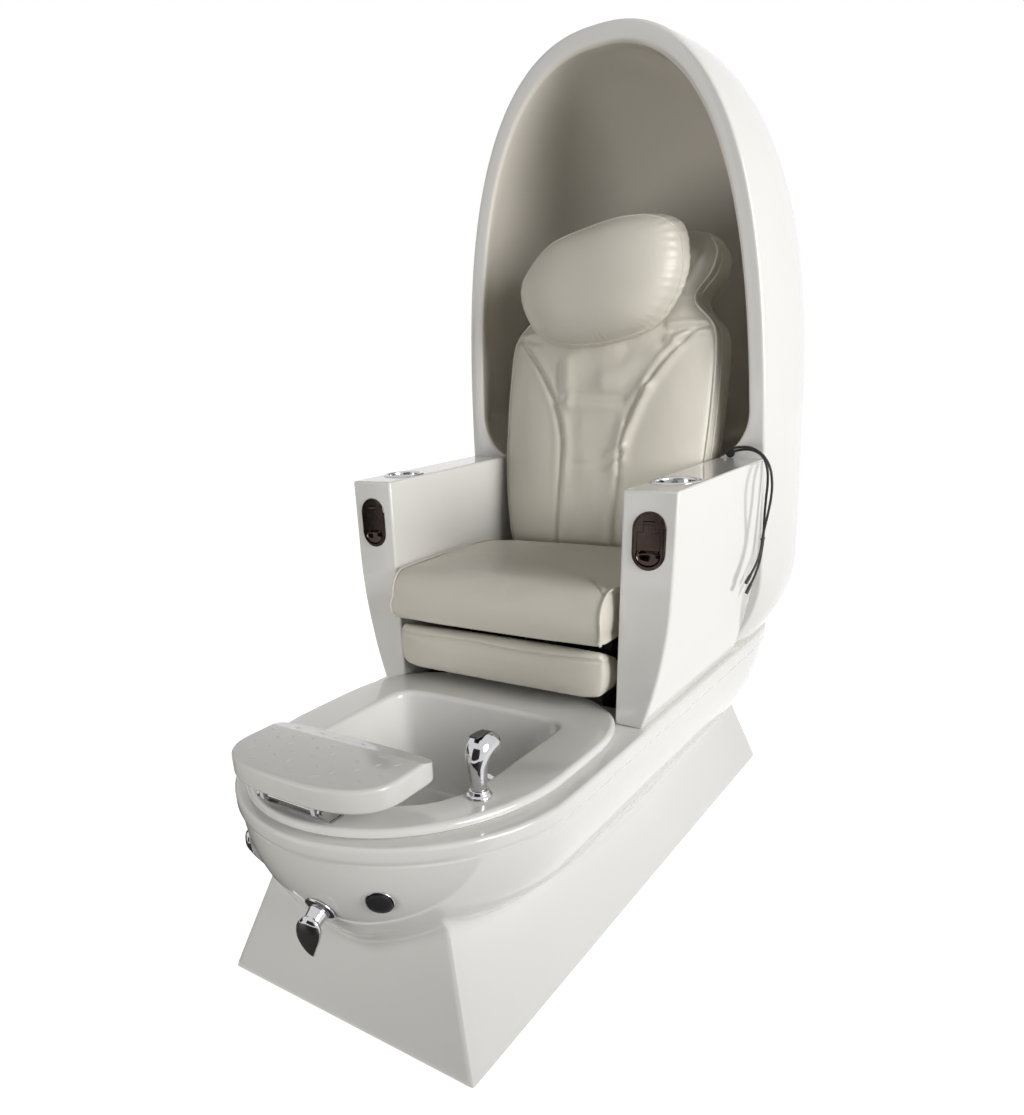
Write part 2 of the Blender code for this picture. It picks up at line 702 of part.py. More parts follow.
def make_drain():
    """Flange with a short spigot in the floor of the bowl, and a plug that pops up."""
    place = Matrix.Translation((0.0, DRAIN_Y, BOWL_FLOOR_Z))
    bore = DRAIN_BORE - 0.004
    turned("drain_flange", (
        (bore, 0.003), (DRAIN_FLANGE - 0.003, 0.003), (DRAIN_FLANGE, GAP), (DRAIN_BORE, GAP),
        (DRAIN_BORE, -DRAIN_SPIGOT), (bore, -DRAIN_SPIGOT)), CHROME, place, 18)
    cap = bore + 0.006
    plug = turned("drain_plug", (
        (0.0, 0.0075), (cap * 0.6, 0.0070), (cap - 0.002, 0.0055), (cap, 0.003 + GAP),
        (bore - RUN, 0.003 + GAP), (bore - RUN, -0.004), (0.004, -0.006), (0.004, -0.030), (0.0, -0.030)),
        CHROME, place, 18)
    hang(pivot("drain_plug_axis", (0.0, DRAIN_Y, BOWL_FLOOR_Z)), plug)


def bowl_wall_frame(y, z):
    """A frame on the bowl's right wall: Z points into the bowl."""
    x = BOWL_HALF_WIDTH - BOWL_SLOPE * (BOWL_WALL_TOP - z)
    return frame_at((x, y, z), (-1.0, 0.0, BOWL_SLOPE), (0.0, 1.0, 0.0))


WALL_FIT = 0.0006               # clears the slight curve of the bowl's wall


def make_jet():
    """Slotted cover and magnet-driven impeller inside the bowl, with the motor behind the wall."""
    place = bowl_wall_frame(JET_Y, JET_Z)
    face = WALL_FIT + JET_DEPTH
    inner = JET_RADIUS - 0.005
    roof = face - 0.004
    pin = 0.003
    cover = turned("jet_cover", (
        (0.0, face), (JET_RADIUS - 0.006, face), (JET_RADIUS, face - 0.005), (JET_RADIUS, WALL_FIT),
        (inner, WALL_FIT), (inner, roof), (pin, roof), (pin, WALL_FIT), (0.0, WALL_FIT)), CHROME, place, 20)
    slot = 0.004
    for i in range(JET_SLOTS):
        angle = 2 * math.pi * i / JET_SLOTS
        outline = rectangle(0.010, -slot / 2, JET_RADIUS - 0.010, slot / 2)
        local = Matrix.Rotation(angle, 4, "Z") @ Matrix.Translation((0.0, 0.0, face))
        cut(cover, plate("jet_slot", [outline], 4 * slot, CHROME, place @ local))
    hub = 0.008
    blade_low = WALL_FIT + 0.002
    blade_high = roof - 0.0006
    hub_bore = pin + RUN
    impeller = turned("jet_impeller", (
        (hub_bore, blade_high), (hub, blade_high), (hub, blade_low + 0.002),
        (IMPELLER_RADIUS, blade_low + 0.002), (IMPELLER_RADIUS, blade_low), (hub_bore, blade_low)),
        WHITE_PLASTIC, place, 14)
    for i in range(4):
        low = blade_low + 0.001
        outline = rectangle(hub - 0.001, -0.001, IMPELLER_RADIUS - 0.001, 0.001)
        height = blade_high - 0.001 - low
        turn = Matrix.Rotation(math.pi * i / 2, 4, "Z")
        local = turn @ Matrix.Translation((0.0, 0.0, low + height / 2))
        join(impeller, plate("jet_blade", [outline], height, WHITE_PLASTIC, place @ local))
    hang(pivot("jet_impeller_axis", place.translation), impeller)
    back = -BASIN_WALL - GAP
    turned("jet_motor", (
        (0.0, back), (MOTOR_RADIUS - 0.004, back), (MOTOR_RADIUS, back - 0.004), (MOTOR_RADIUS, back - 0.034),
        (MOTOR_RADIUS - 0.010, back - MOTOR_LENGTH), (0.0, back - MOTOR_LENGTH)), BLACK_PLASTIC, place, 14)


def make_spout():
    """Short fill spout, high on the bowl's right wall."""
    place = bowl_wall_frame(SPOUT_Y, SPOUT_Z)
    flange = SPOUT_RADIUS + 0.004
    tip = 0.026
    turned("fill_spout", (
        (0.0, tip - 0.010), (SPOUT_RADIUS - 0.003, tip - 0.010), (SPOUT_RADIUS - 0.003, tip),
        (SPOUT_RADIUS - 0.001, tip), (SPOUT_RADIUS, tip - 0.002), (SPOUT_RADIUS, 0.006), (flange, 0.004),
        (flange, WALL_FIT), (0.0, WALL_FIT)), CHROME, place, 16)


def make_sprayer():
    """Pull-out sprayer that stands in a collar, with a thumb lever on its head."""
    foot = LIP_TOP + GAP
    place = Matrix.Translation((SPRAYER_X, SPRAYER_Y, foot))
    collar = SPRAYER_STEM + RUN
    turned("sprayer_holder", (
        (collar, 0.012), (collar + 0.003, 0.012), (collar + 0.004, 0.006), (SPRAYER_FLANGE, 0.004),
        (SPRAYER_FLANGE, 0.0), (collar, 0.0)), CHROME, place, 20)
    head = foot + SPRAYER_RISE
    path = (
        (0.0, foot + 0.0005, 1.0), (0.0, foot + 0.0125, 1.0), (-0.001, foot + 0.026, 1.15),
        (-0.003, foot + 0.048, 1.30), (-0.002, foot + 0.066, 1.55), (0.006, head, SPRAYER_SWELL),
        (0.020, head + SPRAYER_HUMP, SPRAYER_SWELL), (0.031, head, 1.65), (0.040, head - 0.007, 1.50),
        (0.042, head - 0.009, 1.30))
    curve = bpy.data.curves.new("sprayer", "CURVE")
    curve.dimensions = "3D"
    curve.bevel_depth = SPRAYER_STEM
    curve.bevel_resolution = 3
    curve.use_fill_caps = True
    spline = curve.splines.new("POLY")
    spline.points.add(len(path) - 1)
    for point, (run, z, swell) in zip(spline.points, path):
        point.co = (SPRAYER_X, SPRAYER_Y + run, z, 1.0)
        point.radius = swell
    sprayer = freeze(add_object("sprayer", curve, CHROME))
    top = head + SPRAYER_HUMP + SPRAYER_SWELL * SPRAYER_STEM
    hinge_y = SPRAYER_Y + 0.026
    seat = top - 0.006
    low = (SPRAYER_X - 0.0085, SPRAYER_Y - 0.014, seat)
    high = (SPRAYER_X + 0.0085, hinge_y + 0.010, top + 0.02)
    cut(sprayer, box("lever_seat", low, high, CHROME))
    profile = (
        (hinge_y, seat + GAP), (hinge_y + 0.003, seat + 0.002), (hinge_y, seat + 0.0055),
        (SPRAYER_Y + 0.010, seat + 0.0075), (SPRAYER_Y - 0.012, seat + 0.0085),
        (SPRAYER_Y - 0.012, seat + 0.0055))
    matrix = frame_at((SPRAYER_X, 0.0, 0.0), AXIS_X, AXIS_Y)
    lever = plate("sprayer_lever", [profile], 0.014, BLACK_PLASTIC, matrix)
    lift = pivot("sprayer_axis", (SPRAYER_X, SPRAYER_Y, foot))
    hang(lift, sprayer)
    hang(pivot("sprayer_lever_axis", (SPRAYER_X, hinge_y, seat + 0.002)), lever)


# Valves and air switch on the nose

def make_valve(name, degrees, z):
    """Round flange and curved lever outside the hull, brass body inside."""
    place = nose_frame(degrees, z)
    back = GAP
    bore = VALVE_STEM + RUN
    turned(name + "_flange", (
        (bore, VALVE_FACE), (VALVE_FLANGE - 0.009, VALVE_FACE), (VALVE_FLANGE, VALVE_FACE / 2),
        (VALVE_FLANGE, back), (bore, back)), CHROME, place, 20)
    seat = -SEAT_WALL
    end = seat - VALVE_BODY_LENGTH
    socket = seat - VALVE_SOCKET
    turned(name + "_body", (
        (bore, seat), (VALVE_BODY, seat), (VALVE_BODY, end), (0.0, end), (0.0, socket), (bore, socket)),
        BRASS, place, 12)
    boss = VALVE_BOSS
    tip = socket + 0.001
    lever = turned(name + "_lever", (
        (0.0, VALVE_CAP), (boss - 0.003, VALVE_CAP), (boss, VALVE_CAP - 0.004), (boss, VALVE_FACE + GAP),
        (VALVE_STEM, VALVE_FACE + GAP), (VALVE_STEM, tip), (0.0, tip)), CHROME, place, 16)
    sections = ((-0.08, 0.021, 0.55, 0.009), (0.1, 0.028, 0.90, 0.011), (0.35, 0.036, 1.0, 0.009),
                (0.65, 0.036, 0.88, 0.006), (0.93, 0.030, 0.50, 0.004), (1.0, 0.027, 0.22, 0.003))
    rings = []
    for share, out, wide, thick in sections:
        ring = []
        for i in range(12):
            angle = -2 * math.pi * i / 12
            across = LEVER_WIDTH / 2 * wide * math.cos(angle)
            ring.append(place @ Vector((across, -share * LEVER_LENGTH, out + thick * math.sin(angle))))
        rings.append(ring)
    join(lever, loft(name + "_blade", rings, CHROME))
    hang(pivot(name + "_axis", place.translation), lever)


def make_jet_switch():
    """Round air button in a bezel, with its bellows behind the hull."""
    place = nose_frame(*JET_SWITCH)
    back = 0.0004
    bore = BUTTON_RADIUS + RUN
    turned("jet_button_bezel", (
        (bore, 0.005), (BUTTON_BEZEL - 0.003, 0.005), (BUTTON_BEZEL, 0.002), (BUTTON_BEZEL, back),
        (bore, back)), CHROME, place, 24)
    tail = -SEAT_WALL
    end = tail - 0.006
    stem = 0.005
    button = turned("jet_button", (
        (0.0, 0.0085), (BUTTON_RADIUS * 0.6, 0.0080), (BUTTON_RADIUS - 0.002, 0.0065),
        (BUTTON_RADIUS, 0.0045), (BUTTON_RADIUS, -0.003), (stem, -0.003), (stem, end), (0.0, end)),
        BLACK_PLASTIC, place, 20)
    hang(pivot("jet_button_axis", place.translation), button)
    case = BUTTON_BEZEL
    neck = case - 0.008
    bore = stem + RUN
    floor = end - BUTTON_TRAVEL - 0.002
    closed = tail - 0.024
    turned("jet_bellows", (
        (bore, tail), (case, tail), (case, tail - 0.006), (neck, tail - 0.008), (neck, closed), (0.0, closed),
        (0.0, floor), (bore, floor)), BLACK_RUBBER, place, 14)


# Footrest

def pad_ring(inset, z):
    return oval(
        PAD_HALF_WIDTH - inset, PAD_FRONT + inset, PAD_NOSE_CENTRE, PAD_REAR_CENTRE, PAD_REAR - inset,
        PAD_NOSE_POWER, PAD_REAR_POWER, z, 40)


def make_footrest():
    """Moulded pad on a chrome bracket at the front of the basin's lip."""
    rings = [
        pad_ring(PAD_HEEL, PAD_BOTTOM), pad_ring(PAD_HEEL * 0.4, PAD_BOTTOM + PAD_HEEL * 0.25),
        pad_ring(0.0, PAD_BOTTOM + PAD_HEEL * 0.8), pad_ring(0.0, PAD_TOP - PAD_ROUND),
        pad_ring(PAD_ROUND * 0.3, PAD_TOP - PAD_ROUND * 0.35), pad_ring(PAD_ROUND, PAD_TOP)]
    pad = loft("footrest_pad", rings, WHITE_PLASTIC)
    slope = math.atan2(PAD_CHAMFER_DROP, PAD_CHAMFER_WIDTH)
    wide = 2 * PAD_HALF_WIDTH
    chamfer = box("pad_chamfer", (-wide, 0.0, 0.0), (wide, wide, wide), WHITE_PLASTIC)
    chamfer.matrix_world = (Matrix.Translation((0.0, PAD_REAR - PAD_CHAMFER_WIDTH, PAD_TOP))
                            @ Matrix.Rotation(-slope, 4, "X"))
    cut(pad, chamfer)
    lug_x = FOOT_EAR_X - 0.010
    knuckle = FOOT_PIN + 0.005
    rise = PAD_BOTTOM + 0.003 - FOOT_AXIS_Z
    outline = [(-knuckle, rise)] + arc(knuckle, math.pi, 2 * math.pi, 9) + [(knuckle, rise)]
    for side in (-1, 1):
        matrix = frame_at((side * lug_x, FOOT_AXIS_Y, FOOT_AXIS_Z), AXIS_X, AXIS_Y)
        lug = [outline, circle(FOOT_PIN + RUN, count=16)]
        join(pad, plate("pad_lug", lug, 0.008, WHITE_PLASTIC, matrix))
    low_y = FOOT_AXIS_Y + FOOT_PLATE_BEHIND
    high_y = low_y + FOOT_PLATE_LENGTH
    base_z = LIP_TOP + GAP
    half = FOOT_EAR_X + 0.004
    low = (-half, low_y, base_z)
    high = (half, high_y, base_z + FOOT_PLATE_THICK)
    bracket = box("footrest_bracket", low, high, CHROME)
    ear_round = FOOT_PIN + 0.004
    foot = base_z + 0.0015 - FOOT_AXIS_Z
    ear = [(low_y + 0.001 - FOOT_AXIS_Y, foot), (high_y - 0.002 - FOOT_AXIS_Y, foot)]
    ear += arc(ear_round, 0.5, 3.5, 6)
    for side in (-1, 1):
        matrix = frame_at((side * FOOT_EAR_X, FOOT_AXIS_Y, FOOT_AXIS_Z), AXIS_X, AXIS_Y)
        outlines = [ear, circle(FOOT_PIN + GAP, count=16)]
        join(bracket, plate("bracket_ear", outlines, 0.004, CHROME, matrix))
    reach = FOOT_EAR_X + 0.006
    ends = [(x, FOOT_AXIS_Y, FOOT_AXIS_Z) for x in (-reach, reach)]
    rod("footrest_pin", ends[0], ends[1], FOOT_PIN, CHROME)
    hang(pivot("footrest_axis", (0.0, FOOT_AXIS_Y, FOOT_AXIS_Z)), pad)


# Hood

def rim_y(z):
    return RIM_Y + RIM_LEAN * (z - ARM_TOP)


def egg_share(z, top):
    """Share of the full width that the egg keeps at a height, for an egg with the given top."""
    if z < POD_WIDEST_Z:
        drop = (POD_WIDEST_Z - z) / (POD_WIDEST_Z - DECK_Z)
        return 1 - (1 - POD_FOOT_HALF_WIDTH / (RIM_HALF_WIDTH * POD_BULGE)) * drop ** 2
    rise = min((z - POD_WIDEST_Z) / (top - POD_WIDEST_Z), 1.0)
    return (1 - RIM_TAPER * rise) * (1 - rise ** CROWN_POWER) ** CROWN_ROOT


def back_y(z, top):
    """Rearmost line of the egg at a height."""
    if z < POD_BACK_Z:
        drop = (POD_BACK_Z - z) / (POD_BACK_Z - DECK_Z)
        return POD_BACK - (POD_BACK - POD_FOOT_BACK) * drop ** 2
    rise = min((z - POD_BACK_Z) / (top - POD_BACK_Z), 1.0)
    return rim_y(top) + (POD_BACK - rim_y(top)) * (1 - rise ** 2.6) ** 0.4545


def shoulder(z):
    """Half-width of the opening where the armrests close it in."""
    rise = min(max((z - SHOULDER_Z) / SHOULDER_RISE, 0.0), 1.0)
    return ARM_INNER + 0.002 + SHOULDER_GAIN * math.sin(rise * math.pi / 2)


def egg_section(half, wide, back, edge, z, rounding):
    """One level section, from the right edge of the rim round the back to the left edge."""
    front = rim_y(z)
    depth = min(POD_BULGE_DEPTH, 0.4 * (back - front))
    widest = front + depth
    right = []
    for i in range(3):
        angle = math.pi / 2 * i / 2
        x = half + edge * rounding * (1 - math.sin(angle))
        right.append(Vector((x, front + rounding * (1 - math.cos(angle)), z)))
    for i in (1, 2):
        share = i / 3
        bulge = math.sin(math.pi / 2 * share)
        right.append(Vector((half + (wide - half) * bulge, front + rounding + (depth - rounding) * share, z)))
    middle = []
    for i in range(17):
        angle = math.pi * i / 16
        x = wide * power(math.cos(angle), 2 / POD_POWER)
        middle.append(Vector((x, widest + (back - widest) * power(math.sin(angle), 2 / POD_POWER), z)))
    left = [Vector((-point.x, point.y, z)) for point in reversed(right)]
    return right + middle + left


def make_pod():
    """Double-walled egg, cut open by a leaning plane; its rim is a flat band."""
    low = DECK_Z + GAP
    inner_top = POD_TOP - RIM_BAND
    rows = 20
    outer_rows = []
    inner_rows = []
    for i in range(rows):
        share = math.sin(math.pi / 2 * i / rows)
        z = low + (POD_TOP - low) * share
        half = RIM_HALF_WIDTH * egg_share(z, POD_TOP)
        rounding = min(RIM_ROUND / 2, half / 4)
        outer_rows.append(egg_section(half, half * POD_BULGE, back_y(z, POD_TOP), -1.0, z, rounding))
        z = low + (inner_top - low) * share
        egg = (RIM_HALF_WIDTH - RIM_INSET) * egg_share(z, inner_top)
        half = min(egg, shoulder(z)) if z < SHOULDER_Z + SHOULDER_RISE else egg
        roomy = RIM_HALF_WIDTH * POD_BULGE * egg_share(z, inner_top) - POD_WALL
        blend = min(max((z - SHOULDER_Z) / SHOULDER_RISE, 0.0), 1.0)
        wide = half + max(roomy - half, 0.0) * blend
        rounding = min(RIM_ROUND, half / 4)
        inner_rows.append(egg_section(half, wide, back_y(z, inner_top) - POD_WALL, 1.0, z, rounding))
    bm = bmesh.new()
    outer = [[bm.verts.new(point) for point in row] for row in outer_rows]
    inner = [[bm.verts.new(point) for point in row] for row in inner_rows]
    outer_tip = bm.verts.new((0.0, rim_y(POD_TOP), POD_TOP))
    inner_tip = bm.verts.new((0.0, rim_y(inner_top), inner_top))
    last = len(outer[0]) - 1
    for low_row, high_row in zip(outer, outer[1:]):
        for i in range(last):
            bm.faces.new((low_row[i], low_row[i + 1], high_row[i + 1], high_row[i]))
    for low_row, high_row in zip(inner, inner[1:]):
        for i in range(last):
            bm.faces.new((low_row[i + 1], low_row[i], high_row[i], high_row[i + 1]))
    for i in range(last):
        bm.faces.new((outer[-1][i], outer[-1][i + 1], outer_tip))
        bm.faces.new((inner[-1][i + 1], inner[-1][i], inner_tip))
        bm.faces.new((outer[0][i + 1], outer[0][i], inner[0][i], inner[0][i + 1]))
    outer_edges = outer + [[outer_tip] * (last + 1)]
    inner_edges = inner + [[inner_tip] * (last + 1)]
    for i in range(rows):
        bm.faces.new((inner_edges[i][0], outer_edges[i][0], outer_edges[i + 1][0], inner_edges[i + 1][0]))
        bm.faces.new((outer_edges[i][-1], inner_edges[i][-1], inner_edges[i + 1][-1], outer_edges[i + 1][-1]))
    pod = mesh_object("pod_shell", bm, GELCOAT)
    place = rim_frame()
    start = place.translation - place.col[2].to_3d() * 0.020
    return cut(pod, rod("grommet_hole", start, place.translation + place.col[2].to_3d() * 0.02,
                        GROMMET_RADIUS - 0.002 + RUN, GELCOAT))


def rim_frame():
    """A frame on the rim's face where the leads come out: Z points forward."""
    return frame_at((GROMMET_X, rim_y(GROMMET_Z), GROMMET_Z), (0.0, -1.0, RIM_LEAN), AXIS_X)


# Armrests, cup holders and bag hooks

def make_armrest(name, side):
    """Box armrest whose outer face curves in towards its foot."""
    outline = [(ARM_INNER, DECK_Z + GAP), (ARM_FOOT_OUTER, DECK_Z + GAP)]
    for i in range(1, 9):
        share = 1 - i / 8
        z = ARM_CURVE_Z - (ARM_CURVE_Z - DECK_Z) * share
        outline.append((ARM_OUTER - (ARM_OUTER - ARM_FOOT_OUTER) * share ** 2, z))
    outline += [(ARM_OUTER, ARM_TOP), (ARM_INNER, ARM_TOP)]
    if side < 0:
        outline.reverse()
    front = [Vector((side * x, ARM_FRONT, z)) for x, z in outline]
    rear = [Vector((side * x, rim_y(z) - GAP, z)) for x, z in outline]
    arm = bevel(loft(name + "_armrest", [rear, front], GELCOAT), ARM_ROUND)
    top = (side * CUP_X, CUP_Y, ARM_TOP + 0.02)
    bottom = (side * CUP_X, CUP_Y, ARM_TOP - CUP_DEPTH - CUP_WALL - GAP)
    cut(arm, rod("cup_hole", bottom, top, CUP_BORE + CUP_WALL + 2 * GAP, GELCOAT, 24))
    matrix = hook_frame(side)
    pocket = plate("hook_pocket", [stadium(HOOK_BODY[0] + 2 * GAP, HOOK_BODY[1] + 2 * GAP)],
                   2 * HOOK_BODY_DEPTH + 2 * GAP, GELCOAT, matrix)
    return cut(arm, pocket)


def make_cup_holder(name, side):
    """Drop-in metal cup with a rolled flange."""
    outer = CUP_BORE + CUP_WALL
    floor = -CUP_DEPTH
    turned(name + "_cup_holder", (
        (0.0, floor), (CUP_BORE, floor), (CUP_BORE, 0.001), (CUP_BORE + 0.002, 0.003),
        (CUP_FLANGE - 0.002, 0.003), (CUP_FLANGE, GAP), (outer, GAP), (outer, floor - CUP_WALL),
        (0.0, floor - CUP_WALL)), CHROME, Matrix.Translation((side * CUP_X, CUP_Y, ARM_TOP)), 24)


def hook_frame(side):
    """A frame on the armrest's front: X across, Y up, Z forward."""
    return frame_at((side * HOOK_X, ARM_FRONT, HOOK_Z), (0.0, -1.0, 0.0), AXIS_X)


def hook_outline(slack, top):
    """The T-shaped flap, seen from the front, grown by a slack and cut off at its top."""
    stem = HOOK_STEM_WIDTH / 2 + slack
    flap = HOOK_FLAP_WIDTH / 2 + slack
    shoulder_y = HOOK_SHOULDER + slack
    foot = HOOK_FOOT - slack
    return [(-stem, top), (-stem, shoulder_y), (-flap, shoulder_y), (-flap, foot), (flap, foot),
            (flap, shoulder_y), (stem, shoulder_y), (stem, top)]


def make_hook(name, side):
    """Flush plate with a T-shaped flap that folds out on a pin at its top."""
    place = hook_frame(side)
    proud = HOOK_PLATE_PROUD
    body = plate(name + "_hook_plate", [stadium(*HOOK_PLATE)], proud - GAP, NICKEL,
                 place @ Matrix.Translation((0.0, 0.0, (proud + GAP) / 2)))
    depth = HOOK_BODY_DEPTH
    join(body, plate("hook_body", [stadium(*HOOK_BODY)], depth + proud / 2, NICKEL,
                     place @ Matrix.Translation((0.0, 0.0, (proud / 2 - depth) / 2))))
    knuckle = HOOK_THICK * 0.7
    axis_y = HOOK_TOP - knuckle
    axis_z = proud - knuckle
    floor = proud - 2 * knuckle - HOOK_SLACK
    pocket = plate("flap_pocket", [hook_outline(HOOK_SLACK, HOOK_TOP + HOOK_SLACK)], 0.02 - floor, NICKEL,
                   place @ Matrix.Translation((0.0, 0.0, (0.02 + floor) / 2)))
    cut(body, pocket)
    scoop = bmesh.new()
    bmesh.ops.create_uvsphere(scoop, u_segments=16, v_segments=8, radius=SCOOP_RADIUS)
    centre = place @ Matrix.Translation((0.0, HOOK_FOOT - SCOOP_RADIUS * 0.55, proud))
    cut(body, mesh_object("finger_scoop", scoop, NICKEL, centre))
    reach = HOOK_STEM_WIDTH / 2 + 0.003
    ends = [place @ Vector((x, axis_y, axis_z)) for x in (-reach, reach)]
    cut(body, rod("pin_hole", ends[0], ends[1], HOOK_PIN + GAP, NICKEL, 12))
    rod(name + "_hook_pin", place @ Vector((-reach + GAP, axis_y, axis_z)),
        place @ Vector((reach - GAP, axis_y, axis_z)), HOOK_PIN, NICKEL, 12)
    middle = place @ Matrix.Translation((0.0, 0.0, proud - HOOK_THICK / 2))
    flap = plate(name + "_hook", [hook_outline(0.0, axis_y)], HOOK_THICK, NICKEL, middle)
    half = HOOK_STEM_WIDTH / 2
    ends = [place @ Vector((x, axis_y, axis_z)) for x in (-half, half)]
    join(flap, rod("hook_knuckle", ends[0], ends[1], knuckle, NICKEL))
    ends = [place @ Vector((x, axis_y, axis_z)) for x in (-reach, reach)]
    cut(flap, rod("hook_bore", ends[0], ends[1], HOOK_PIN + RUN, NICKEL, 12))
    hang(pivot(name + "_hook_axis", place @ Vector((0.0, axis_y, axis_z))), flap)


# Steel frame in the pedestal's foot

def make_floor_frame():
    """Steel ring inside the pedestal's foot, with two cross bars."""
    half_x = FLOOR_HALF_WIDTH - SIDE_LEAN * FRAME_HEIGHT - SHELL_WALL - 0.001
    half_y = FLOOR_HALF_LENGTH - END_LEAN * FRAME_HEIGHT - SHELL_WALL - 0.001
    outlines = [rectangle(-half_x, -half_y, half_x, half_y)]
    in_x = half_x - FRAME_BAR
    edges = [-half_y + FRAME_BAR / 2] + list(CROSS_BAR_Y) + [half_y - FRAME_BAR / 2]
    for low, high in zip(edges, edges[1:]):
        outlines.append(rectangle(-in_x, low + FRAME_BAR / 2, in_x, high - FRAME_BAR / 2))
    plate("floor_frame", outlines, FRAME_HEIGHT, STEEL, Matrix.Translation((0.0, 0.0, FRAME_HEIGHT / 2)))


# Seat slide

def make_slide():
    """Slotted rails on the deck, T-shaped runners in them, and the actuator between."""
    base = DECK_Z + GAP
    half = RAIL_WIDTH / 2
    slot = SLOT_WIDTH / 2
    mouth = MOUTH_WIDTH / 2
    under = RAIL_TOP - RAIL_LIP
    rail = [(-half, base), (half, base), (half, RAIL_TOP), (mouth, RAIL_TOP), (mouth, under), (slot, under),
            (slot, RAIL_SLOT_Z), (-slot, RAIL_SLOT_Z), (-slot, under), (-mouth, under), (-mouth, RAIL_TOP),
            (-half, RAIL_TOP)]
    foot = slot - GAP
    web = mouth - GAP
    tread = under - GAP
    runner = [(-foot, RAIL_SLOT_Z + GAP), (foot, RAIL_SLOT_Z + GAP), (foot, tread), (web, tread),
              (web, BOARD_Z[0] - GAP), (-web, BOARD_Z[0] - GAP), (-web, tread), (-foot, tread)]
    runners = []
    kinds = (("rail", rail, RAIL_Y, ZINC), ("runner", runner, RUNNER_Y, STEEL))
    for name, side in (("left", 1), ("right", -1)):
        for kind, outline, span, material in kinds:
            middle = sum(span) / 2
            matrix = frame_at((side * RAIL_X, middle, 0.0), (0.0, -1.0, 0.0), AXIS_X)
            piece = plate(name + "_" + kind, [outline], span[1] - span[0], material, matrix)
            if kind == "runner":
                runners.append(piece)
    low, high = ACTUATOR_Y
    length = high - low
    bore = ROD_RADIUS + RUN
    matrix = frame_at((0.0, low, ACTUATOR_Z), (0.0, -1.0, 0.0), AXIS_X)
    body = turned("slide_actuator", (
        (bore, 0.0), (ACTUATOR_RADIUS - 0.003, 0.0), (ACTUATOR_RADIUS, -0.003), (ACTUATOR_RADIUS, -length),
        (0.0, -length), (0.0, -length + 0.010), (bore, -length + 0.010)), BLACK_PLASTIC, matrix, 16)
    saddle = 0.014
    feet = (-saddle, low + 0.03, base)
    join(body, box("actuator_saddle", feet, (saddle, high - 0.03, ACTUATOR_Z - 0.012), ZINC))
    ends = [(0.0, y, ACTUATOR_Z) for y in (ROD_Y[0] + GAP, ROD_Y[1])]
    return runners + [rod("slide_rod", ends[0], ends[1], ROD_RADIUS, ZINC)]


# Cushions

def cushion(name, cols, rows, plan, top, bottom, draw_in, material, matrix):
    """A padded closed form over a grid of u and v from -1 to 1.

    Plan gives x and y for a place on the grid, top and bottom its two heights.
    """
    bm = bmesh.new()

    def grid(height):
        lines = []
        for j in range(rows + 1):
            v = 2 * j / rows - 1
            line = []
            for i in range(cols + 1):
                u = 2 * i / cols - 1
                x, y = plan(u, v)
                line.append(bm.verts.new(matrix @ Vector((x, y, height(u, v)))))
            lines.append(line)
        return lines

    upper = grid(top)
    lower = grid(bottom)
    for j in range(rows):
        for i in range(cols):
            bm.faces.new((upper[j][i], upper[j][i + 1], upper[j + 1][i + 1], upper[j + 1][i]))
            bm.faces.new((lower[j][i], lower[j + 1][i], lower[j + 1][i + 1], lower[j][i + 1]))
    edge = [(0, i) for i in range(cols)] + [(j, cols) for j in range(rows)]
    edge += [(rows, i) for i in range(cols, 0, -1)] + [(j, 0) for j in range(rows, 0, -1)]
    centre = matrix @ Vector((*plan(0.0, 0.0), 0.0))
    normal = matrix.col[2].to_3d()
    waist = []
    for j, i in edge:
        middle = (upper[j][i].co + lower[j][i].co) / 2
        inward = centre - middle
        inward -= normal * inward.dot(normal)
        waist.append(bm.verts.new(middle - inward.normalized() * draw_in))
    count = len(edge)
    for k in range(count):
        n = (k + 1) % count
        j, i = edge[k]
        jn, in_ = edge[n]
        bm.faces.new((lower[j][i], lower[jn][in_], waist[n], waist[k]))
        bm.faces.new((waist[k], waist[n], upper[jn][in_], upper[j][i]))
    return mesh_object(name, bm, material)


def rounded(u, v, share):
    """Map the square of u and v onto a square with softened corners."""
    return u * math.sqrt(1 - share * v * v), v * math.sqrt(1 - share * u * u)


def pulled(value, other, amount):
    """Draw a side in between its corners."""
    return value * (1 - amount * (1 - other * other) * abs(value))


def groove(distance, width):
    """A sewn channel's depth, 1 on its line and 0 away from it."""
    return math.exp(-(distance / width) ** 2)


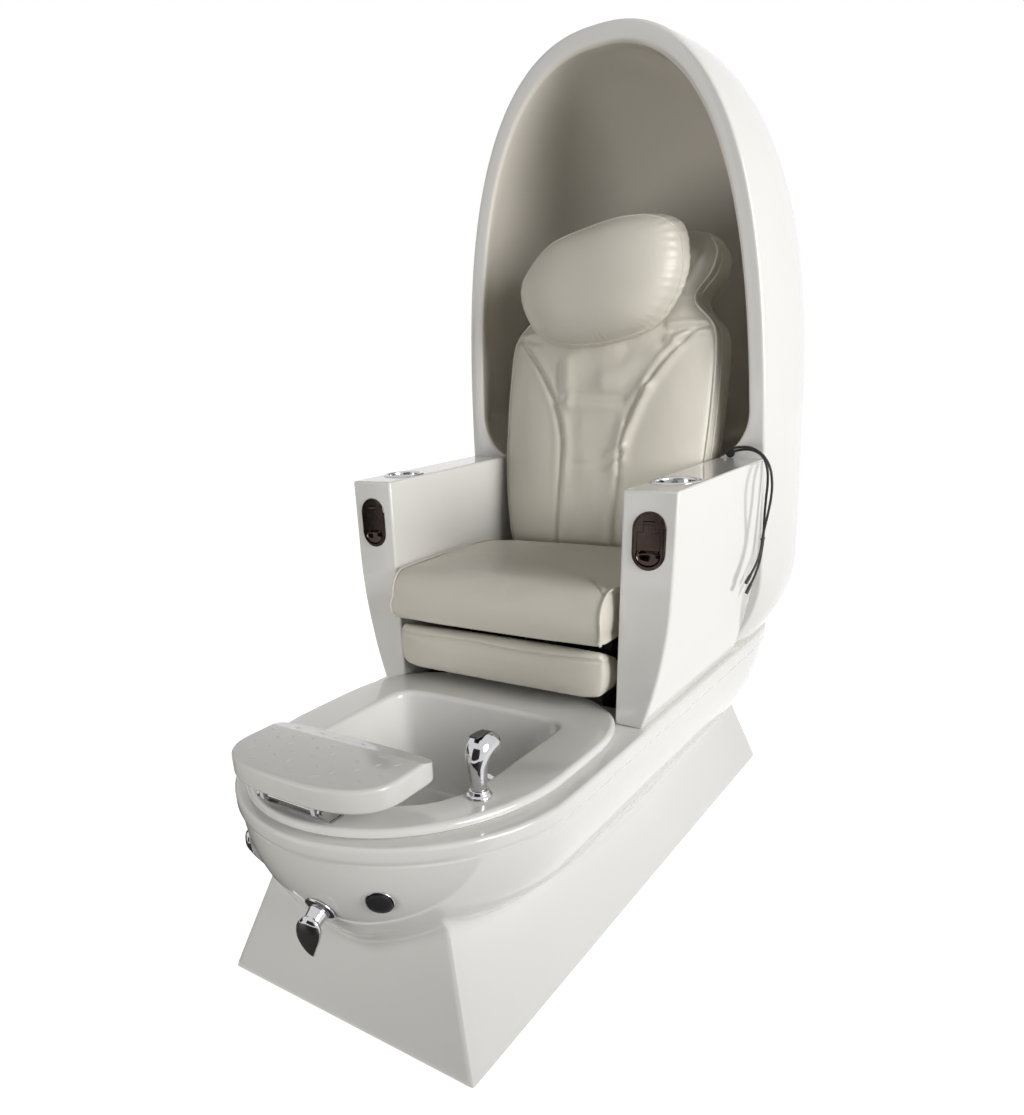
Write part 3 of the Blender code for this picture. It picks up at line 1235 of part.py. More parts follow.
def make_seat():
    """Plywood seat on the runners, padded apron in front, loose cushion on top."""
    low_y, high_y = BOARD_Y
    low_z, high_z = BOARD_Z
    board = box("seat_board", (-BOARD_HALF_WIDTH, low_y, low_z), (BOARD_HALF_WIDTH, high_y, high_z), PLYWOOD)
    low = (-0.015, ROD_Y[0] - 0.02, ACTUATOR_Z - 0.014)
    join(board, box("rod_lug", low, (0.015, ROD_Y[0], low_z + 0.01), PLYWOOD))
    middle = sum(CUSHION_Y) / 2
    half_length = (CUSHION_Y[1] - CUSHION_Y[0]) / 2
    thick = CUSHION_Z[1] - CUSHION_Z[0]

    def along(v):
        """Closer rows towards the front."""
        return 2 * ((v + 1) / 2) ** 1.5 - 1

    def plan(u, v):
        x, y = rounded(u, along(v), 0.06)
        return CUSHION_HALF_WIDTH * pulled(x, y, 0.012), half_length * pulled(y, x, 0.010)

    def top(u, v):
        y = along(v)
        into_roll = max(CUSHION_ROLL - half_length * (1 + y), 0.0)
        roll = CUSHION_ROLL - math.sqrt(CUSHION_ROLL ** 2 - into_roll ** 2)
        return thick + CUSHION_CROWN * (1 - u ** 4) * (1 - y ** 4) - roll - 0.006 * max(abs(u), y) ** 12

    def bottom(u, v):
        return 0.006 * max(abs(u), abs(along(v))) ** 12

    seat = cushion("seat_cushion", 16, 14, plan, top, bottom, 0.004, LEATHER,
                   Matrix.Translation((0.0, middle, CUSHION_Z[0])))
    apron_thick = low_y - GAP - APRON_FRONT
    half_height = (APRON_Z[1] - APRON_Z[0]) / 2

    def apron_plan(u, v):
        x, y = rounded(u, v, 0.10)
        return APRON_HALF_WIDTH * x, half_height * y

    def apron_top(u, v):
        welt = groove(v - 0.62, 0.10)
        crown = 0.006 * (1 - u ** 6) * (1 - v ** 4)
        return apron_thick - 0.009 + crown - 0.003 * welt - 0.004 * max(abs(u), abs(v)) ** 10

    def apron_bottom(u, v):
        return 0.0

    matrix = frame_at((0.0, low_y - GAP, sum(APRON_Z) / 2), (0.0, -1.0, 0.0), AXIS_X)
    apron = cushion("seat_apron", 14, 10, apron_plan, apron_top, apron_bottom, 0.002, LEATHER, matrix)
    return [board, seat, apron]


# Backrest

def back_frame():
    """The backrest's own frame: X across, Y up the back, Z forward."""
    forward = (0.0, -math.cos(BACK_LEAN), math.sin(BACK_LEAN))
    return frame_at((0.0, BACK_HINGE_Y, BACK_HINGE_Z), forward, AXIS_X)


def back_half_width(v):
    """Half-width of the backrest up its height: waist, shoulders, a notch, then the ears beside the pillow."""
    share = (v - BACK_V[0]) / (BACK_V[1] - BACK_V[0])
    waist = BACK_WAIST * max(0.40 - share, 0.0) ** 2
    shoulders = BACK_SHOULDERS * max(share - 0.45, 0.0) ** 2
    notch = BACK_NOTCH * groove(share - BACK_NOTCH_AT, BACK_NOTCH_WIDTH)
    ears = BACK_EAR * max(share - 0.93, 0.0) / 0.07
    return BACK_HALF_WIDTH - waist - shoulders - notch - ears


def seam_x(v):
    """Half-distance between the two curved seams that shape the middle panel."""
    return BACK_SEAM + BACK_SEAM_FLARE * max(v - BACK_SEAM_V, 0.0) ** 2


def make_backrest():
    """Padded backrest on a hinged panel, with a loose pillow at the head."""
    place = back_frame()
    low_v, high_v = BACK_PANEL_V
    half = BACK_PANEL_HALF_WIDTH
    panel = plate("back_frame", [rectangle(-half, low_v, half, high_v)], BACK_PANEL_THICK, PLYWOOD,
                  place @ Matrix.Translation((0.0, 0.0, BACK_PANEL_THICK / 2)))
    knuckle = HINGE_ROD + 0.006
    root = low_v + 0.01
    outline = [(-knuckle, root), *arc(knuckle, math.pi, 2 * math.pi, 9), (knuckle, root)]
    for side in (-1, 1):
        local = Matrix.Translation((side * HINGE_KNUCKLE_X, 0.0, 0.0)) @ SIDEWAYS
        lug = [outline, circle(HINGE_ROD + RUN, count=12)]
        join(panel, plate("back_knuckle", lug, 0.016, PLYWOOD, place @ local))
    eye = LINK_PIN + LINK_EYE_WALL
    lug_root = LUG_W - 0.004
    ear = [(lug_root, LUG_ROOT), *arc(eye, math.pi / 2, -math.pi / 2, 9), (lug_root, -LUG_ROOT)]
    for side in (-1, 1):
        local = Matrix.Translation((side * LUG_X, LUG_V, LUG_W)) @ SIDEWAYS
        join(panel, plate("link_ear", [ear], LUG_THICK, PLYWOOD, place @ local))
    reach = LUG_X + LUG_THICK / 2
    pin_ends = [place @ Vector((x, LUG_V, LUG_W)) for x in (-reach, reach)]
    join(panel, rod("link_pin", pin_ends[0], pin_ends[1], LINK_PIN, ZINC))

    low, high = BACK_V
    centre_v = (low + high) / 2
    half_v = (high - low) / 2
    rear = BACK_PANEL_THICK + GAP

    def plan(u, v):
        x, y = rounded(u, v, 0.10)
        height = centre_v + half_v * y
        return back_half_width(height) * x, height

    def front(u, v):
        height = plan(u, v)[1]
        across = abs(plan(u, v)[0])
        crown = BACK_CROWN * (1 - abs(u) ** 2.5) * (1 - v ** 6)
        seam = 0.010 * groove(across - seam_x(height), 0.014) * groove(v - 0.1, 0.75)
        roll = 0.030 * abs(u) ** 6 + 0.020 * max(abs(v) - 0.8, 0.0) / 0.2
        return rear + BACK_DEPTH + crown - seam - roll

    def behind(u, v):
        return rear

    back = cushion("back_cushion", 18, 22, plan, front, behind, 0.003, LEATHER, place)

    seat = rear + BACK_DEPTH + BACK_CROWN - 0.004
    tilt = Matrix.Rotation(PILLOW_TILT, 4, "Z")
    pillow_place = place @ Matrix.Translation((0.0, PILLOW_V, seat + 0.0042)) @ tilt

    def pillow_plan(u, v):
        x, y = rounded(u, v, 0.42)
        return PILLOW_HALF_WIDTH * x, PILLOW_HALF_HEIGHT * y

    def pillow_front(u, v):
        return 0.012 + (PILLOW_DEPTH - 0.012) * math.sqrt(max((1 - u ** 4) * (1 - v ** 4), 0.0))

    def pillow_rear(u, v):
        return 0.0

    pillow = cushion(
        "head_pillow", 16, 12, pillow_plan, pillow_front, pillow_rear, 0.0, LEATHER, pillow_place)

    reach = HINGE_EAR_X + 0.012
    ends = [(x, BACK_HINGE_Y, BACK_HINGE_Z) for x in (-reach, reach)]
    hinge_rod = rod("back_hinge_rod", ends[0], ends[1], HINGE_ROD, ZINC)
    hang(pivot("back_axis", (0.0, BACK_HINGE_Y, BACK_HINGE_Z)), panel, back, pillow)
    return [hinge_rod]


def make_hinge_brackets():
    """Two upright ears on the seat board, which carry the hinge rod."""
    foot = BOARD_Z[1] + GAP - BACK_HINGE_Z
    ear = HINGE_ROD + 0.007
    outline = [(BOARD_Y[1] - 0.030 - BACK_HINGE_Y, foot), (BOARD_Y[1] - 0.002 - BACK_HINGE_Y, foot)]
    outline += arc(ear, -0.6, 3.0, 7)
    pieces = []
    for name, side in (("left", 1), ("right", -1)):
        matrix = frame_at((side * HINGE_EAR_X, BACK_HINGE_Y, BACK_HINGE_Z), AXIS_X, AXIS_Y)
        outlines = [outline, circle(HINGE_ROD + GAP, count=12)]
        pieces.append(plate(name + "_hinge_bracket", outlines, 0.006, ZINC, matrix))
    return pieces


def make_recline_drive():
    """Actuator behind the backrest: anchored to the seat board, it pushes on the panel's lug."""
    anchor = Vector((0.0, ANCHOR_Y, ANCHOR_Z))
    lug = back_frame() @ Vector((0.0, LUG_V, LUG_W))
    axis = lug - anchor
    length = axis.length
    place = frame_at(anchor, axis, AXIS_X)
    bore = RECLINE_ROD + RUN
    low, high = RECLINE_TUBE
    body = turned("recline_actuator", (
        (bore, high), (RECLINE_BODY - 0.002, high), (RECLINE_BODY, high - 0.003), (RECLINE_BODY, low),
        (0.0, low), (0.0, RECLINE_BORE_END), (bore, RECLINE_BORE_END)), BLACK_PLASTIC, place, 14)
    eye = LINK_PIN + LINK_EYE_WALL
    ring = [circle(eye), circle(LINK_PIN + RUN, count=16)]
    across = frame_at(anchor, AXIS_X, AXIS_Y)
    join(body, plate("actuator_eye", ring, RECLINE_EYE_WIDTH, BLACK_PLASTIC, across))
    ends = [place @ Vector((0, 0, z)) for z in (eye - 0.003, low + 0.002)]
    join(body, rod("actuator_neck", ends[0], ends[1], RECLINE_NECK, BLACK_PLASTIC))
    top_eye = LINK_PIN + LINK_PLAY
    upper = top_eye + LINK_EYE_WALL
    ends = [place @ Vector((0, 0, z)) for z in (RECLINE_ROD_START, length - top_eye - 0.002)]
    slider = rod("recline_rod", ends[0], ends[1], RECLINE_ROD, ZINC)
    ring = [circle(upper), circle(top_eye)]
    join(slider, plate("rod_eye", ring, ROD_EYE_WIDTH, ZINC, frame_at(lug, AXIS_X, AXIS_Y)))
    foot = BOARD_Z[0] - GAP
    start = BOARD_Y[1] - CHEEK_REACH
    cheek = [(start - ANCHOR_Y, z - ANCHOR_Z) for z in (foot, foot - CHEEK_DROP)]
    cheek += arc(eye, -math.pi / 2, math.pi / 2, 6)
    cheeks = None
    for side in (-1, 1):
        matrix = frame_at((side * CHEEK_X, ANCHOR_Y, ANCHOR_Z), AXIS_X, AXIS_Y)
        piece = plate("actuator_mount", [cheek], CHEEK_THICK, STEEL, matrix)
        cheeks = piece if cheeks is None else join(cheeks, piece)
    outer = CHEEK_X + CHEEK_THICK / 2
    low = (-outer, start + 0.001, foot - CHEEK_THICK)
    join(cheeks, box("mount_pad", low, (outer, BOARD_Y[1] - 0.010, foot), STEEL))
    ends = [(side * (outer - 0.0015), ANCHOR_Y, ANCHOR_Z) for side in (-1, 1)]
    join(cheeks, rod("anchor_pin", ends[0], ends[1], LINK_PIN, STEEL))
    hang(pivot("actuator_axis", anchor), body)
    hang(pivot("recline_rod_axis", place @ Vector((0, 0, high))), slider)
    return [cheeks]


# Leads

def smooth_route(points, step):
    """Evenly spaced points on a smooth curve through the route's own points."""
    knots = [Vector(point) for point in points]
    padded = [2 * knots[0] - knots[1]] + knots + [2 * knots[-1] - knots[-2]]
    dense = []
    for a, b, c, d in zip(padded, padded[1:], padded[2:], padded[3:]):
        for i in range(12):
            t = i / 12
            dense.append(0.5 * ((2 * b) + (c - a) * t + (2 * a - 5 * b + 4 * c - d) * t ** 2
                                + (3 * b - a - 3 * c + d) * t ** 3))
    dense.append(knots[-1])
    total = sum((q - p).length for p, q in zip(dense, dense[1:]))
    count = max(round(total / step), 2)
    even = [dense[0]]
    walked = 0.0
    for p, q in zip(dense, dense[1:]):
        span = (q - p).length
        while len(even) < count and walked + span >= len(even) * total / count:
            share = (len(even) * total / count - walked) / span
            even.append(p.lerp(q, share))
        walked += span
    even.append(dense[-1])
    return even


def make_lead(name, route):
    """A lead along its route, with a plug at its end."""
    points = smooth_route(route, 5 * CABLE_RADIUS)
    curve = bpy.data.curves.new(name + "_cable", "CURVE")
    curve.dimensions = "3D"
    curve.bevel_depth = CABLE_RADIUS
    curve.bevel_resolution = 2
    curve.use_fill_caps = True
    spline = curve.splines.new("POLY")
    spline.points.add(len(points) - 1)
    for target, point in zip(spline.points, points):
        target.co = (*point, 1.0)
    add_object(name + "_cable", curve, BLACK_RUBBER)
    heading = (points[-1] - points[-2]).normalized()
    tip = points[-1] + heading * GAP
    place = frame_at(tip, -heading, AXIS_X)
    turned(name + "_connector", (
        (0.0, 0.0), (CABLE_RADIUS + 0.0005, 0.0), (CONNECTOR_RADIUS, -0.006),
        (CONNECTOR_RADIUS, -CONNECTOR_LENGTH), (0.0, -CONNECTOR_LENGTH)), BLACK_PLASTIC, place, 12)


def make_leads():
    """Two leads out of a grommet in the rim, over the armrest and down its outer side."""
    place = rim_frame()
    bore = GROMMET_RADIUS - 0.002
    turned("cable_grommet", (
        (0.0, GROMMET_PROUD), (GROMMET_RADIUS - 0.001, GROMMET_PROUD),
        (GROMMET_RADIUS, GROMMET_PROUD - 0.001), (GROMMET_RADIUS, GAP), (bore, GAP), (bore, -0.012),
        (0.0, -0.012)), BLACK_RUBBER, place, 20)
    make_lead("upper", UPPER_ROUTE)
    make_lead("lower", LOWER_ROUTE)
    reach = CABLE_RADIUS + GAP
    inner = stadium(2 * reach, CABLE_SPACING + 2 * reach)
    outer = stadium(2 * (reach + TIE_WALL), CABLE_SPACING + 2 * (reach + TIE_WALL))
    middle = [(a + b) / 2 for a, b in zip(UPPER_ROUTE[TIE_POINT], LOWER_ROUTE[TIE_POINT])]
    plate("cable_tie", [outer, inner], TIE_HEIGHT, BLACK_PLASTIC, Matrix.Translation(middle))


make_base_shell()
make_floor_frame()
make_basin()
make_drain()
make_jet()
make_spout()
make_sprayer()
make_valve("front_valve", *FRONT_VALVE)
make_valve("side_valve", *SIDE_VALVE)
make_jet_switch()
make_footrest()
make_pod()
for arm_name, arm_side in (("left", 1), ("right", -1)):
    make_armrest(arm_name, arm_side)
    make_cup_holder(arm_name, arm_side)
    make_hook(arm_name, arm_side)
carriage = make_slide() + make_seat() + make_hinge_brackets() + make_backrest() + make_recline_drive()
hang(pivot("seat_slide_axis", (0.0, 0.0, RAIL_SLOT_Z)), *carriage)
make_leads()
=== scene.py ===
"""Looks of a pedicure chair with a foot basin and an egg-shaped hood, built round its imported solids.

Metres, +Z up. The chair faces -Y, and +X is the sitter's left.
"""
import json
import math

import bmesh
import bpy
from mathutils import Matrix, Vector, noise


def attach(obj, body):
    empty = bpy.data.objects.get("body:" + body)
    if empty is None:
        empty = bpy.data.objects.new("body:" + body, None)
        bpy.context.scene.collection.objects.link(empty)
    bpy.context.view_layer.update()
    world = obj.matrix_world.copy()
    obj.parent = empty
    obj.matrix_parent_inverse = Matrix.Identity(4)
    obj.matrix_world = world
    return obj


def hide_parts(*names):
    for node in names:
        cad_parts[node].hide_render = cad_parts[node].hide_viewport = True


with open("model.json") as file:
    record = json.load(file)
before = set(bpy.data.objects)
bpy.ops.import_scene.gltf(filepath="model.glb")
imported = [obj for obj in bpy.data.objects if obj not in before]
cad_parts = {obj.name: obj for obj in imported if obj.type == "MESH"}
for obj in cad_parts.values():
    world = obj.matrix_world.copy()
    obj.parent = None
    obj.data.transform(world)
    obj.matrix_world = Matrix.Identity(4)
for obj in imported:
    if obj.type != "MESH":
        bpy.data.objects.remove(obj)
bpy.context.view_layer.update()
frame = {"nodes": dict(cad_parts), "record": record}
nodes = frame["nodes"]

# Sizes shared with the solids

FLOOR_HALF_WIDTH = 0.292
FLOOR_HALF_LENGTH = 0.738
SIDE_LEAN = 0.37
END_LEAN = 0.32
DECK_Z = 0.433
BAND_BOTTOM = 0.405
BAND_STEP = 0.006
BAND_ROUND = 0.008
HULL_HALF_WIDTH = 0.330
HULL_HALF_LENGTH = 0.805
HULL_NOSE = 0.330
HULL_STERN = 0.315
NOSE_POWER = 1.92
NOSE_FILL = 1.5
NOSE_RUN = 6.5
NOSE_LIMIT = 0.25
STERN_POWER = 2.5
HULL_DRAFT = 0.340
END_SHRINK = 0.50
SHELL_WALL = 0.010

LIP_TOP = 0.455
LIP_HALF_WIDTH = 0.300
LIP_FRONT = -0.791
LIP_REAR = -0.090
LIP_NOSE_CENTRE = -0.440
LIP_REAR_CENTRE = -0.360
BOWL_HALF_WIDTH = 0.195
BOWL_FRONT = -0.690
BOWL_REAR = -0.243
BOWL_NOSE_CENTRE = -0.488
BOWL_FLOOR_Z = 0.250
BOWL_DRAW_IN = 0.040
BOWL_FILLET = 0.025
BOWL_ROUND = 0.012
BASIN_WALL = 0.006
DRAIN_Y = -0.400
DRAIN_BORE = 0.0204

FRONT_VALVE = (4.0, 0.280)
SIDE_VALVE = (-54.0, 0.287)
JET_SWITCH = (27.0, 0.327)

PAD_HALF_WIDTH = 0.169
PAD_FRONT = -0.800
PAD_NOSE_CENTRE = -0.700
PAD_REAR_CENTRE = -0.655
PAD_REAR = -0.608
PAD_BOTTOM = 0.490
PAD_TOP = 0.533
PAD_CHAMFER_WIDTH = 0.047
PAD_CHAMFER_DROP = 0.013

POD_TOP = 1.640
POD_WIDEST_Z = 0.620
RIM_HALF_WIDTH = 0.372
RIM_TAPER = 0.130
CROWN_POWER = 4.0
CROWN_ROOT = 0.42
RIM_Y = 0.300
RIM_LEAN = -0.111
RIM_BAND = 0.033
RIM_INSET = 0.036
POD_BULGE = 1.058
POD_BULGE_DEPTH = 0.110
POD_BACK = 0.805
POD_BACK_Z = 0.950
POD_FOOT_HALF_WIDTH = 0.316
POD_FOOT_BACK = 0.775
POD_POWER = 2.5
POD_WALL = 0.024
SHOULDER_Z = 0.874
SHOULDER_RISE = 0.092

ARM_INNER = 0.260
ARM_OUTER = 0.361
ARM_FOOT_OUTER = 0.316
ARM_CURVE_Z = 0.720
ARM_FRONT = -0.165
ARM_TOP = 0.874
CUP_X = 0.310
CUP_Y = -0.053
HOOK_X = 0.312
HOOK_Z = 0.789

BACK_HINGE_Y = 0.360
BACK_HINGE_Z = 0.625
BACK_LEAN = math.radians(8.0)

GAP = 0.0003                # between faces that touch
SIDES = (("left", 1), ("right", -1))

CABLE_RADIUS = 0.0025
UPPER_ROUTE = (
    (0.2865, 0.2942, 0.8836), (0.2867, 0.2800, 0.8855), (0.2950, 0.2695, 0.8930), (0.3150, 0.2660, 0.8985),
    (0.3400, 0.2670, 0.8975), (0.3630, 0.2710, 0.8840), (0.3790, 0.2750, 0.8600), (0.3860, 0.2780, 0.8300),
    (0.3870, 0.2790, 0.8000), (0.3840, 0.2795, 0.7650), (0.3800, 0.2795, 0.7350), (0.3780, 0.2795, 0.7140),
    (0.3780, 0.2785, 0.6970), (0.3775, 0.2700, 0.6780), (0.3755, 0.2560, 0.6610), (0.3730, 0.2420, 0.6480),
)
LOWER_ROUTE = (
    (0.2935, 0.2942, 0.8836), (0.2940, 0.2825, 0.8842), (0.3030, 0.2765, 0.8890), (0.3220, 0.2765, 0.8930),
    (0.3430, 0.2785, 0.8910), (0.3610, 0.2820, 0.8790), (0.3715, 0.2850, 0.8560), (0.3750, 0.2865, 0.8280),
    (0.3750, 0.2870, 0.7980), (0.3755, 0.2870, 0.7650), (0.3770, 0.2867, 0.7350), (0.3780, 0.2865, 0.7140),
    (0.3780, 0.2860, 0.6960), (0.3775, 0.2790, 0.6660), (0.3755, 0.2650, 0.6430), (0.3730, 0.2490, 0.6260),
)
GROMMET_X = 0.290
GROMMET_Z = 0.8836


# Finishes

class Value:
    """What one node gives, with arithmetic that adds Math nodes."""

    def __init__(self, finish, socket):
        self.finish = finish
        self.socket = socket

    def maths(self, operation, first, second):
        return self.finish.node("Math", {"operation": operation}, {0: first, 1: second})

    def __add__(self, other):
        return self.maths("ADD", self, other)

    def __sub__(self, other):
        return self.maths("SUBTRACT", self, other)

    def __rsub__(self, other):
        return self.maths("SUBTRACT", other, self)

    def __mul__(self, other):
        return self.maths("MULTIPLY", self, other)

    __radd__ = __add__
    __rmul__ = __mul__


class Finish:
    """A material whose shader is fed by nodes."""

    def __init__(self, name, **constants):
        self.material = bpy.data.materials.new(name)
        self.material.use_nodes = True
        self.tree = self.material.node_tree
        self.shader = self.tree.nodes["Principled BSDF"]
        for key, value in constants.items():
            self.shader.inputs[key.replace("_", " ")].default_value = value
        self.place = self.node("TexCoord", output="Object")

    def node(self, kind, settings=None, inputs=None, output=0):
        made = self.tree.nodes.new("ShaderNode" + kind)
        for key, value in (settings or {}).items():
            setattr(made, key, value)
        for key, value in (inputs or {}).items():
            self.feed(made.inputs[key], value)
        return Value(self, made.outputs[output])

    def feed(self, socket, value):
        if isinstance(value, Value):
            self.tree.links.new(value.socket, socket)
        else:
            socket.default_value = value

    def set(self, socket, value):
        self.feed(self.shader.inputs[socket], value)

    def stretched(self, scale):
        return self.node("Mapping", None, {"Vector": self.place, "Scale": scale})

    def cloud(self, scale, detail=2.0, place=None):
        """Soft noise from 0 to 1, with a scale in cycles per metre."""
        return self.node("TexNoise", None, {"Vector": place or self.place, "Scale": scale, "Detail": detail})

    def cells(self, scale, feature="F1", place=None):
        return self.node("TexVoronoi", {"feature": feature}, {"Vector": place or self.place, "Scale": scale})

    def mix(self, share, first, second):
        first, second = (tone if isinstance(tone, Value) else (*tone, 1.0) for tone in (first, second))
        return self.node("Mix", {"data_type": "RGBA"}, {0: share, 6: first, 7: second}, output=2)

    def within(self, low, high):
        """1 inside a box in the piece's own place, 0 outside it."""
        share = 1.0
        for axis in range(3):
            along = self.node("SeparateXYZ", None, {0: self.place}, output=axis)
            share = along.maths("GREATER_THAN", along, low[axis]) * share
            share = share * along.maths("LESS_THAN", along, high[axis])
        return share

    def bump(self, height, strength, distance):
        return self.node("Bump", None, {"Strength": strength, "Distance": distance, "Height": height})


# Painted shade: the deck under the seat is coloured nearly black where it lies in shadow
SHADED_DECK = ((-0.257, -0.089, 0.420), (0.257, 0.290, 0.4345))   # low and high corner of the stretch painted dark as shade
PAINTED_SHADE_TONE = (0.020, 0.018, 0.016)


def make_gelcoat(name, light, dark):
    """Polished gel-coat with a faint orange peel and slow changes of tone; under the seat it is painted
    nearly black as shade.
    """
    finish = Finish(name, IOR=1.5, Coat_Weight=0.5, Coat_Roughness=0.03)
    tone = finish.cloud(2.6, 3.0)
    wipe = finish.cloud(14.0, 4.0, finish.stretched((1.0, 0.35, 1.8)))
    # Painted shade: nearly black and rough inside the box under the seat
    painted_shade = finish.within(*SHADED_DECK)
    finish.set("Base Color", finish.mix(painted_shade, finish.mix(tone, light, dark), PAINTED_SHADE_TONE))
    finish.set("Roughness", 0.08 + 0.07 * wipe + 0.6 * painted_shade)
    finish.set("Normal", finish.bump(finish.cloud(160.0, 1.0), 0.05, 0.0006))
    return finish.material


def make_leather(name, light, dark):
    """Synthetic leather: pebbled grain, soft creases and a slight sheen."""
    finish = Finish(name, IOR=1.46, Sheen_Weight=0.08, Sheen_Roughness=0.4)
    grain = finish.cells(620.0, "SMOOTH_F1")
    pores = finish.cloud(1900.0, 2.0)
    crease = finish.cloud(34.0, 5.0, finish.stretched((1.0, 1.0, 1.6)))
    tone = finish.cloud(5.0, 3.0)
    finish.set("Base Color", finish.mix(tone * 0.7 + grain * 0.3, light, dark))
    finish.set("Roughness", 0.29 + 0.10 * tone + 0.08 * grain)
    height = 0.55 * grain + 0.20 * pores + 1.4 * crease
    finish.set("Normal", finish.bump(height, 0.22, 0.0012))
    return finish.material


def make_metal(name, colour, worn, roughness, smear):
    """Plated metal with a film of wiped water marks."""
    finish = Finish(name, Metallic=1.0)
    haze = finish.cloud(45.0, 4.0)
    marks = finish.cells(150.0)
    finish.set("Base Color", finish.mix(haze, colour, worn))
    finish.set("Roughness", roughness + smear * haze * (1.2 - marks))
    finish.set("Normal", finish.bump(finish.cloud(300.0, 2.0), 0.02, 0.0004))
    return finish.material


def make_moulded(name, light, dark, roughness, grain):
    """Moulded plastic, rubber or paint with a fine texture."""
    finish = Finish(name, IOR=1.48)
    tone = finish.cloud(40.0, 3.0)
    finish.set("Base Color", finish.mix(tone, light, dark))
    finish.set("Roughness", roughness + 0.12 * tone)
    finish.set("Normal", finish.bump(finish.cloud(900.0, 2.0), grain, 0.0005))
    return finish.material


def make_plywood(name):
    """Plywood coloured nearly black as painted shade for the gap under the seat, with long grain."""
    finish = Finish(name, Roughness=0.6)
    rings = finish.cloud(18.0, 5.0, finish.stretched((9.0, 0.8, 6.0)))
    finish.set("Base Color", finish.mix(rings, (0.022, 0.018, 0.015), (0.014, 0.011, 0.009)))
    finish.set("Normal", finish.bump(rings, 0.15, 0.0008))
    return finish.material


FINISHES = {
    "gelcoat": make_gelcoat("white_gelcoat", (0.80, 0.795, 0.775), (0.765, 0.757, 0.735)),
    "cream_leather": make_leather("cream_leather", (0.66, 0.635, 0.565), (0.60, 0.575, 0.50)),
    "chrome": make_metal("chrome", (0.62, 0.62, 0.63), (0.53, 0.53, 0.54), 0.05, 0.08),
    "dark_nickel": make_metal("dark_nickel", (0.070, 0.052, 0.045), (0.050, 0.037, 0.032), 0.08, 0.10),
    "zinc_steel": make_metal("zinc_steel", (0.56, 0.57, 0.59), (0.46, 0.47, 0.49), 0.30, 0.20),
    "valve_brass": make_metal("valve_brass", (0.72, 0.55, 0.26), (0.58, 0.42, 0.18), 0.28, 0.20),
    "painted_steel": make_moulded("painted_steel", (0.07, 0.07, 0.075), (0.045, 0.045, 0.05), 0.40, 0.12),
    "white_plastic": make_moulded("white_plastic", (0.76, 0.755, 0.735), (0.72, 0.715, 0.69), 0.08, 0.04),
    "black_plastic": make_moulded("black_plastic", (0.030, 0.030, 0.032), (0.020, 0.020, 0.021), 0.30, 0.15),
    "black_rubber": make_moulded("black_rubber", (0.020, 0.020, 0.021), (0.013, 0.013, 0.014), 0.45, 0.25),
    "plywood": make_plywood("plywood"),
}
# Painted light: a lighter, warmer copy of the gelcoat for the hood's inside, standing in for light in its
# shaded hollow
HOOD_LIT_GELCOAT = make_gelcoat("hood_lit_gelcoat", (0.86, 0.825, 0.755), (0.825, 0.785, 0.71))
SLOT_OF = {row["node"]: row["material_slot"] for row in frame["record"]["subparts"]}


# Modelling by hand

def clear_selection():
    if bpy.context.object is not None and bpy.context.object.mode != "OBJECT":
        bpy.ops.object.mode_set(mode="OBJECT")
    bpy.ops.object.select_all(action="DESELECT")


def pick(piece):
    clear_selection()
    piece.select_set(True)
    bpy.context.view_layer.objects.active = piece


def apply_modifier(piece, kind, **settings):
    pick(piece)
    modifier = piece.modifiers.new(kind.lower(), kind)
    for key, value in settings.items():
        setattr(modifier, key, value)
    bpy.ops.object.modifier_apply(modifier=modifier.name)


def smooth(piece, degrees=35.0):
    pick(piece)
    bpy.ops.object.shade_smooth_by_angle(angle=math.radians(degrees))


def skin(name, rings, caps=(True, True), degrees=35.0):
    """Draws the first section as a circle, then extrudes its loop from section to section."""
    clear_selection()
    count = len(rings[0])
    bpy.ops.mesh.primitive_circle_add(vertices=count, radius=1.0)
    piece = bpy.context.object
    piece.name = name
    piece.data.name = name
    bpy.ops.object.mode_set(mode="EDIT")
    bpy.ops.mesh.select_all(action="SELECT")
    loop = list(range(count))
    loops = [loop]
    mesh = bmesh.from_edit_mesh(piece.data)
    mesh.verts.ensure_lookup_table()
    for index, point in zip(loop, rings[0]):
        mesh.verts[index].co = point
    for ring in rings[1:]:
        drawn = len(mesh.verts)
        bpy.ops.mesh.extrude_edges_indiv()
        mesh = bmesh.from_edit_mesh(piece.data)
        mesh.verts.ensure_lookup_table()
        mesh.verts.index_update()
        following = []
        for index, point in zip(loop, ring):
            vert = mesh.verts[index]
            ends = (edge.other_vert(vert) for edge in vert.link_edges)
            new = next(end for end in ends if end.index >= drawn)
            new.co = point
            following.append(new.index)
        loop = following
        loops.append(loop)
    for wanted, ends in zip(caps, (loops[0], loops[-1])):
        if wanted:
            bpy.ops.mesh.select_all(action="DESELECT")
            mesh = bmesh.from_edit_mesh(piece.data)
            mesh.verts.ensure_lookup_table()
            for index in ends:
                mesh.verts[index].select_set(True)
            mesh.select_flush_mode()
            bpy.ops.mesh.edge_face_add()
    bmesh.update_edit_mesh(piece.data)
    bpy.ops.mesh.select_all(action="SELECT")
    bpy.ops.mesh.remove_doubles(threshold=0.00002)
    bpy.ops.mesh.normals_make_consistent(inside=False)
    bpy.ops.object.mode_set(mode="OBJECT")
    smooth(piece, degrees)
    return piece


def ease_edges(piece, width, segments, limit):
    apply_modifier(piece, "BEVEL", width=width, segments=segments, limit_method="ANGLE", angle_limit=limit)


def cut(piece, *cutters):
    """Takes cutters out of a piece."""
    for cutter in cutters:
        apply_modifier(piece, "BOOLEAN", operation="DIFFERENCE", object=cutter, solver="EXACT")
        bpy.data.objects.remove(cutter, do_unlink=True)


